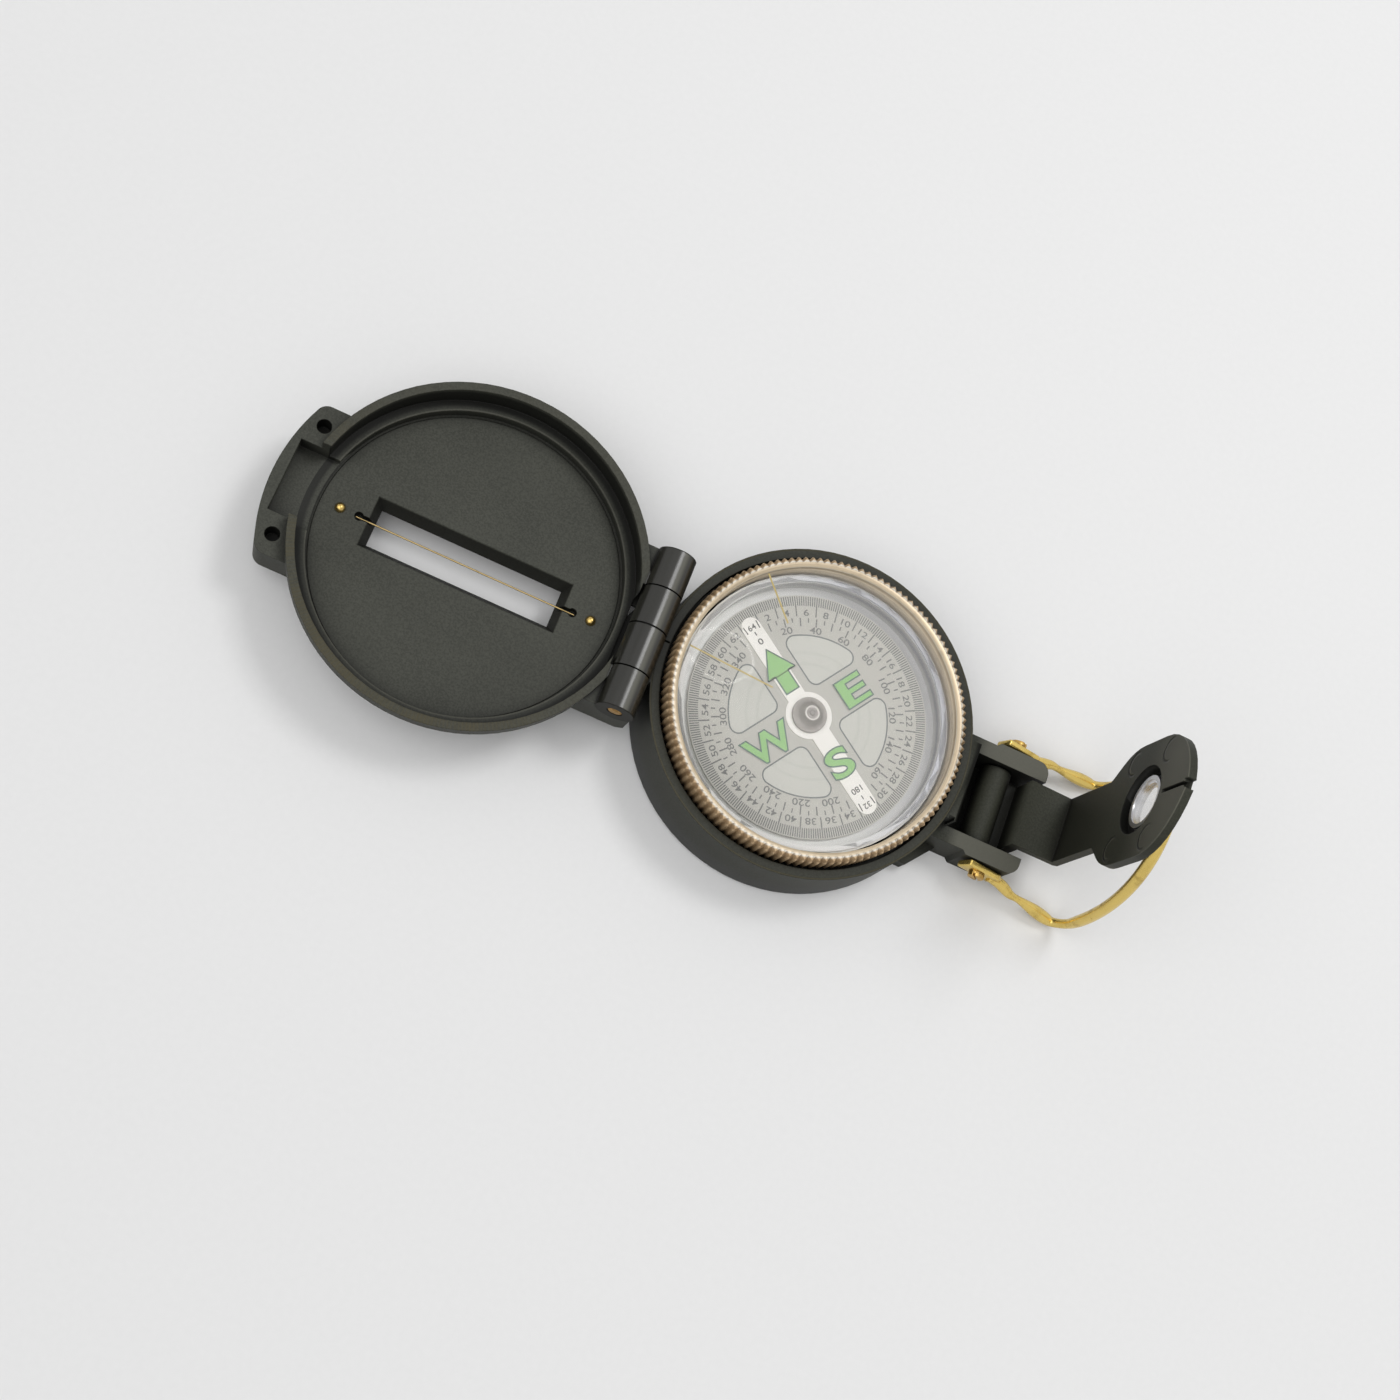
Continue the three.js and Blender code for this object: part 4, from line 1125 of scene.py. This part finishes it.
# %% Luminous lines
def line_on(name, body, inner, outer, angle, height, width=0.28):
    bpy.ops.mesh.primitive_cube_add(size=1)
    strip = bpy.context.object
    strip.scale = ((outer - inner) * mm, width * mm, 0.06 * mm)
    strip.location.x = (inner + outer) / 2 * mm
    settle(strip)
    strip.rotation_euler.z = math.radians(angle)
    strip.location.z = height * mm
    settle(strip)
    strip.name = name
    bevel = strip.modifiers.new("round", "BEVEL")
    bevel.width = 0.02 * mm
    apply_all(strip)
    dress(strip, body, glow_tan, "clear_plastic")


cover_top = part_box("capsule_cover")[1].z / mm
line_on("case_line", "case", 8.0, 22.9, 177.2, cover_top + 0.04)
line_on("bezel_line", "bezel", 14.5, 23.2, 132.2, crystal_top + 0.04)

# %% [markdown]
# The pivot's cup is a small turned hat of grey metal with a bright ring round its crown.

# %% Pivot cup
cup_low, cup_high = (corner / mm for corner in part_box("jewel_cup"))
cup_radius = cup_high.x + 0.25
cup_section = [
    (0, cup_high.z),
    (0.35, cup_high.z),
    (0.45, cup_high.z - 0.12),
    (0.95, cup_high.z - 0.12),
    (1.05, cup_high.z),
    (1.2, cup_high.z - 0.02),
    (1.35, cup_high.z - 0.3),
    (1.9, cup_high.z - 1.1),
    (2.2, cup_low.z + 0.6),
    (cup_radius - 0.05, cup_low.z + 0.55),
    (cup_radius, cup_low.z + 0.5),
    (cup_radius, cup_low.z),
    (1.2, cup_low.z),
    (0.4, cup_high.z - 0.5),
    (0, cup_high.z - 0.5),
]


def cup_finish():
    finish = Finish("cup_metal", Roughness=0.42, Metallic=0.3)
    x, y, z = finish.axes()
    radius = finish.distance(x, y)
    colour = finish.mix(finish.noise(1400, detail=3), hexed("75706b"), hexed("938d87"))
    colour = finish.mix(radius.near(1.1 * mm, 0.25 * mm) * 0.7, colour, hexed("eee9e4"))
    bore = radius.below(0.85 * mm, 0.12 * mm)
    return finish.surface(Base_Color=finish.mix(bore * 0.5, colour, hexed("4c4743")))


pivot_cup = lathe("pivot_cup", cup_section, 64)
smooth(pivot_cup, 40)
dress(pivot_cup, "dial", cup_finish(), "steel", "jewel_cup")
print("cup faces", len(pivot_cup.data.polygons))

# %% [markdown]
# The lens sits in a plain grey ring, and small brass parts get brass: the hinge pin, the beads that hold
# the sighting wire, and the wire itself. The steel parts inside are hardly seen, so they keep their
# imported meshes and only get the colour of steel.

# %% Small metal parts
smooth_copy("lens_ring", "lens_seat", grey_trim, "eyepiece", "silver_trim")
smooth_copy("lid_hinge_pin", "hinge_pin", pin_brass, "case", "hinge_brass")
smooth_copy("wire_bead_hinge_side", "bead_by_hinge", bead_brass, "lid", "ring_brass", 60)
smooth_copy("wire_bead_tab_side", "bead_by_tab", bead_brass, "lid", "ring_brass", 60)
smooth_copy("sight_wire", "wire", wire_brass, "lid", "ring_brass", 60)
for inside in ("pivot_post", "bezel_spring", "eyepiece_pin", "dial_magnet"):
    nodes[inside].data.materials.clear()
    nodes[inside].data.materials.append(bright_steel)

# %% [markdown]
# The pin's ends are riveted flush with the last knuckles.

# %% Pin ends
rivet_radius = 1.22
rivet_depth = 0.5
rivet_middle = 13.82

pin_ends = []
for side in (-1, 1):
    spot = (hinge_axis[0], side * rivet_middle * mm, hinge_axis[1])
    bpy.ops.mesh.primitive_cylinder_add(vertices=40, radius=rivet_radius * mm, depth=rivet_depth * mm,
                                        location=spot, rotation=(math.pi / 2, 0, 0))
    rivet = bpy.context.object
    crown = rivet.modifiers.new("crown", "BEVEL")
    crown.width = 0.2 * mm
    crown.segments = 3
    apply_all(rivet)
    pin_ends.append(rivet)
pin_ends = merged(pin_ends, "pin_ends")
smooth(pin_ends, 40)
dress(pin_ends, "case", pin_brass, "hinge_brass")
print("pin end faces", len(pin_ends.data.polygons))

# %% [markdown]
# A slotted screw head is two half discs with the slot between them on a thin whole disc. A disc is cut
# off beside the slot, extruded to its height, and turned half round for the other side.

# %% Slotted screws
screw_radius = 1.35
slot_width = 0.36
slot_tilt = 35
head_seat = 11.65
head_height = 0.85
loop_pivot = (36.7, 5.9)


def half_head(turn):
    bpy.ops.mesh.primitive_circle_add(vertices=56, radius=screw_radius * mm, fill_type="NGON")
    half = bpy.context.object
    edit(half)
    bpy.ops.mesh.select_all(action="SELECT")
    bpy.ops.mesh.bisect(plane_co=(slot_width / 2 * mm, 0, 0), plane_no=(1, 0, 0), clear_inner=True)
    bpy.ops.mesh.select_all(action="SELECT")
    bpy.ops.mesh.extrude_region_move(TRANSFORM_OT_translate={"value": (0, 0, head_height * mm)})
    done()
    half.rotation_euler.z = turn
    return settle(half)


def slotted_head(name, side, node):
    bpy.ops.mesh.primitive_cylinder_add(vertices=56, radius=screw_radius * mm, depth=head_height / 2 * mm,
                                        location=(0, 0, head_height / 4 * mm))
    head = merged([settle(bpy.context.object), half_head(0), half_head(math.pi)], name)
    outward(head)
    edge = head.modifiers.new("edge", "BEVEL")
    edge.width = 0.09 * mm
    edge.segments = 2
    edge.limit_method = "ANGLE"
    apply_all(head)
    turn = Matrix.Rotation(-side * math.pi / 2, 4, "X") @ Matrix.Rotation(math.radians(slot_tilt), 4, "Z")
    spot = Vector((loop_pivot[0], side * head_seat, loop_pivot[1])) * mm
    head.matrix_world = Matrix.Translation(spot) @ turn
    settle(head)
    smooth(head, 30)
    dress(head, "case", screw_brass, "ring_brass", node)


slotted_head("screw_left", 1, "ring_screw_left")
slotted_head("screw_right", -1, "ring_screw_right")
print("screw heads", 2)

# %% [markdown]
# The loop is one wire, pressed flat and pinched where it was bent. A path follows its centre line from
# plate to plate, and every station on it has its own thickness: full at the jog beside the plate, thin at
# the neck, broad where the arm was pressed, thin again at the bend, and even along the round loop.

# %% The loop's path
wire_radius = 0.95
arm_length = 18.15
arm_side = 12.9
arm_drop = 4.95
loop_height = 33.8
loop_bulge = 4.0
loop_lean = 1.3
plate_side = 11.05


def on_arm(x, side):
    return Vector((loop_pivot[0] + x, side, loop_pivot[1] - arm_drop / arm_length * x))


def on_loop(part):
    rise = math.sin(math.pi * part)
    x = arm_length + loop_bulge * rise - (loop_bulge + loop_lean) * rise ** 2
    return Vector((loop_pivot[0] + x, math.cos(math.pi * part) * arm_side,
                   loop_pivot[1] - arm_drop + rise * loop_height))


arm_stations = [
    (on_arm(2.4, plate_side), 0.95),
    (on_arm(4.4, plate_side + 0.1), 1.0),
    (on_arm(6.0, 11.6), 1.05),
    (on_arm(7.4, 12.15), 0.8),
    (on_arm(8.7, 12.1), 0.58),
    (on_arm(10.4, 12.2), 0.8),
    (on_arm(12.8, 12.45), 1.18),
    (on_arm(15.2, 12.7), 1.16),
    (on_arm(16.8, 12.85), 0.8),
]
loop_steps = 32
loop_stations = [(on_loop(step / loop_steps), 0.85 if step in (1, loop_steps - 1) else 1.08)
                 for step in range(1, loop_steps)]
mirrored_arm = [(Vector((spot.x, -spot.y, spot.z)), size) for spot, size in reversed(arm_stations)]

# %% [markdown]
# The stations become the points of a curve with a round bevel, and each point's radius scales it. As a mesh
# it is one solid wire with closed ends.

# %% Wire
bpy.ops.curve.primitive_nurbs_path_add()
wire = bpy.context.object
stations = arm_stations + loop_stations + mirrored_arm
line = wire.data.splines[0]
line.points.add(len(stations) - len(line.points))
for point, (spot, size) in zip(line.points, stations):
    point.co = (*(spot * mm), 1)
    point.radius = size
line.order_u = 3
line.use_endpoint_u = True
line.resolution_u = 6
wire.data.bevel_depth = wire_radius * mm
wire.data.bevel_resolution = 6
wire.data.use_fill_caps = True
only(wire)
bpy.ops.object.convert(target="MESH")
wire = settle(bpy.context.object)
print("wire stations", len(stations))

# %% [markdown]
# Each end of the wire is pressed into a flat plate with a narrower neck, and the screw goes through it.

# %% End plates
plate_length = 6.4
plate_thickness = 1.1
plate_width = 3.7
neck_length = 1.0
neck_share = 0.55

plates = []
for side in (-1, 1):
    bpy.ops.mesh.primitive_cube_add(size=1)
    plate = bpy.context.object
    plate.scale = (plate_length * mm, plate_thickness * mm, plate_width * mm)
    plate.location.x = 0.2 * mm
    settle(plate)
    edit(plate)
    choose(plate, lambda co: co.x > 3 * mm)
    bpy.ops.mesh.extrude_region_move(TRANSFORM_OT_translate={"value": (neck_length * mm, 0, 0)})
    bpy.ops.transform.resize(value=(1, 1, neck_share))
    done()
    plate.rotation_euler.y = math.atan2(arm_drop, arm_length)
    plate.location = Vector((loop_pivot[0], side * plate_side, loop_pivot[1])) * mm
    settle(plate)
    press = plate.modifiers.new("pressed edge", "BEVEL")
    press.width = 0.3 * mm
    press.segments = 3
    apply_all(plate)
    plates.append(plate)
loop = merged([wire] + plates, "loop")
smooth(loop, 40)
dress(loop, "thumb_loop", loop_brass, "ring_brass", "thumb_ring")
print("loop faces", len(loop.data.polygons))
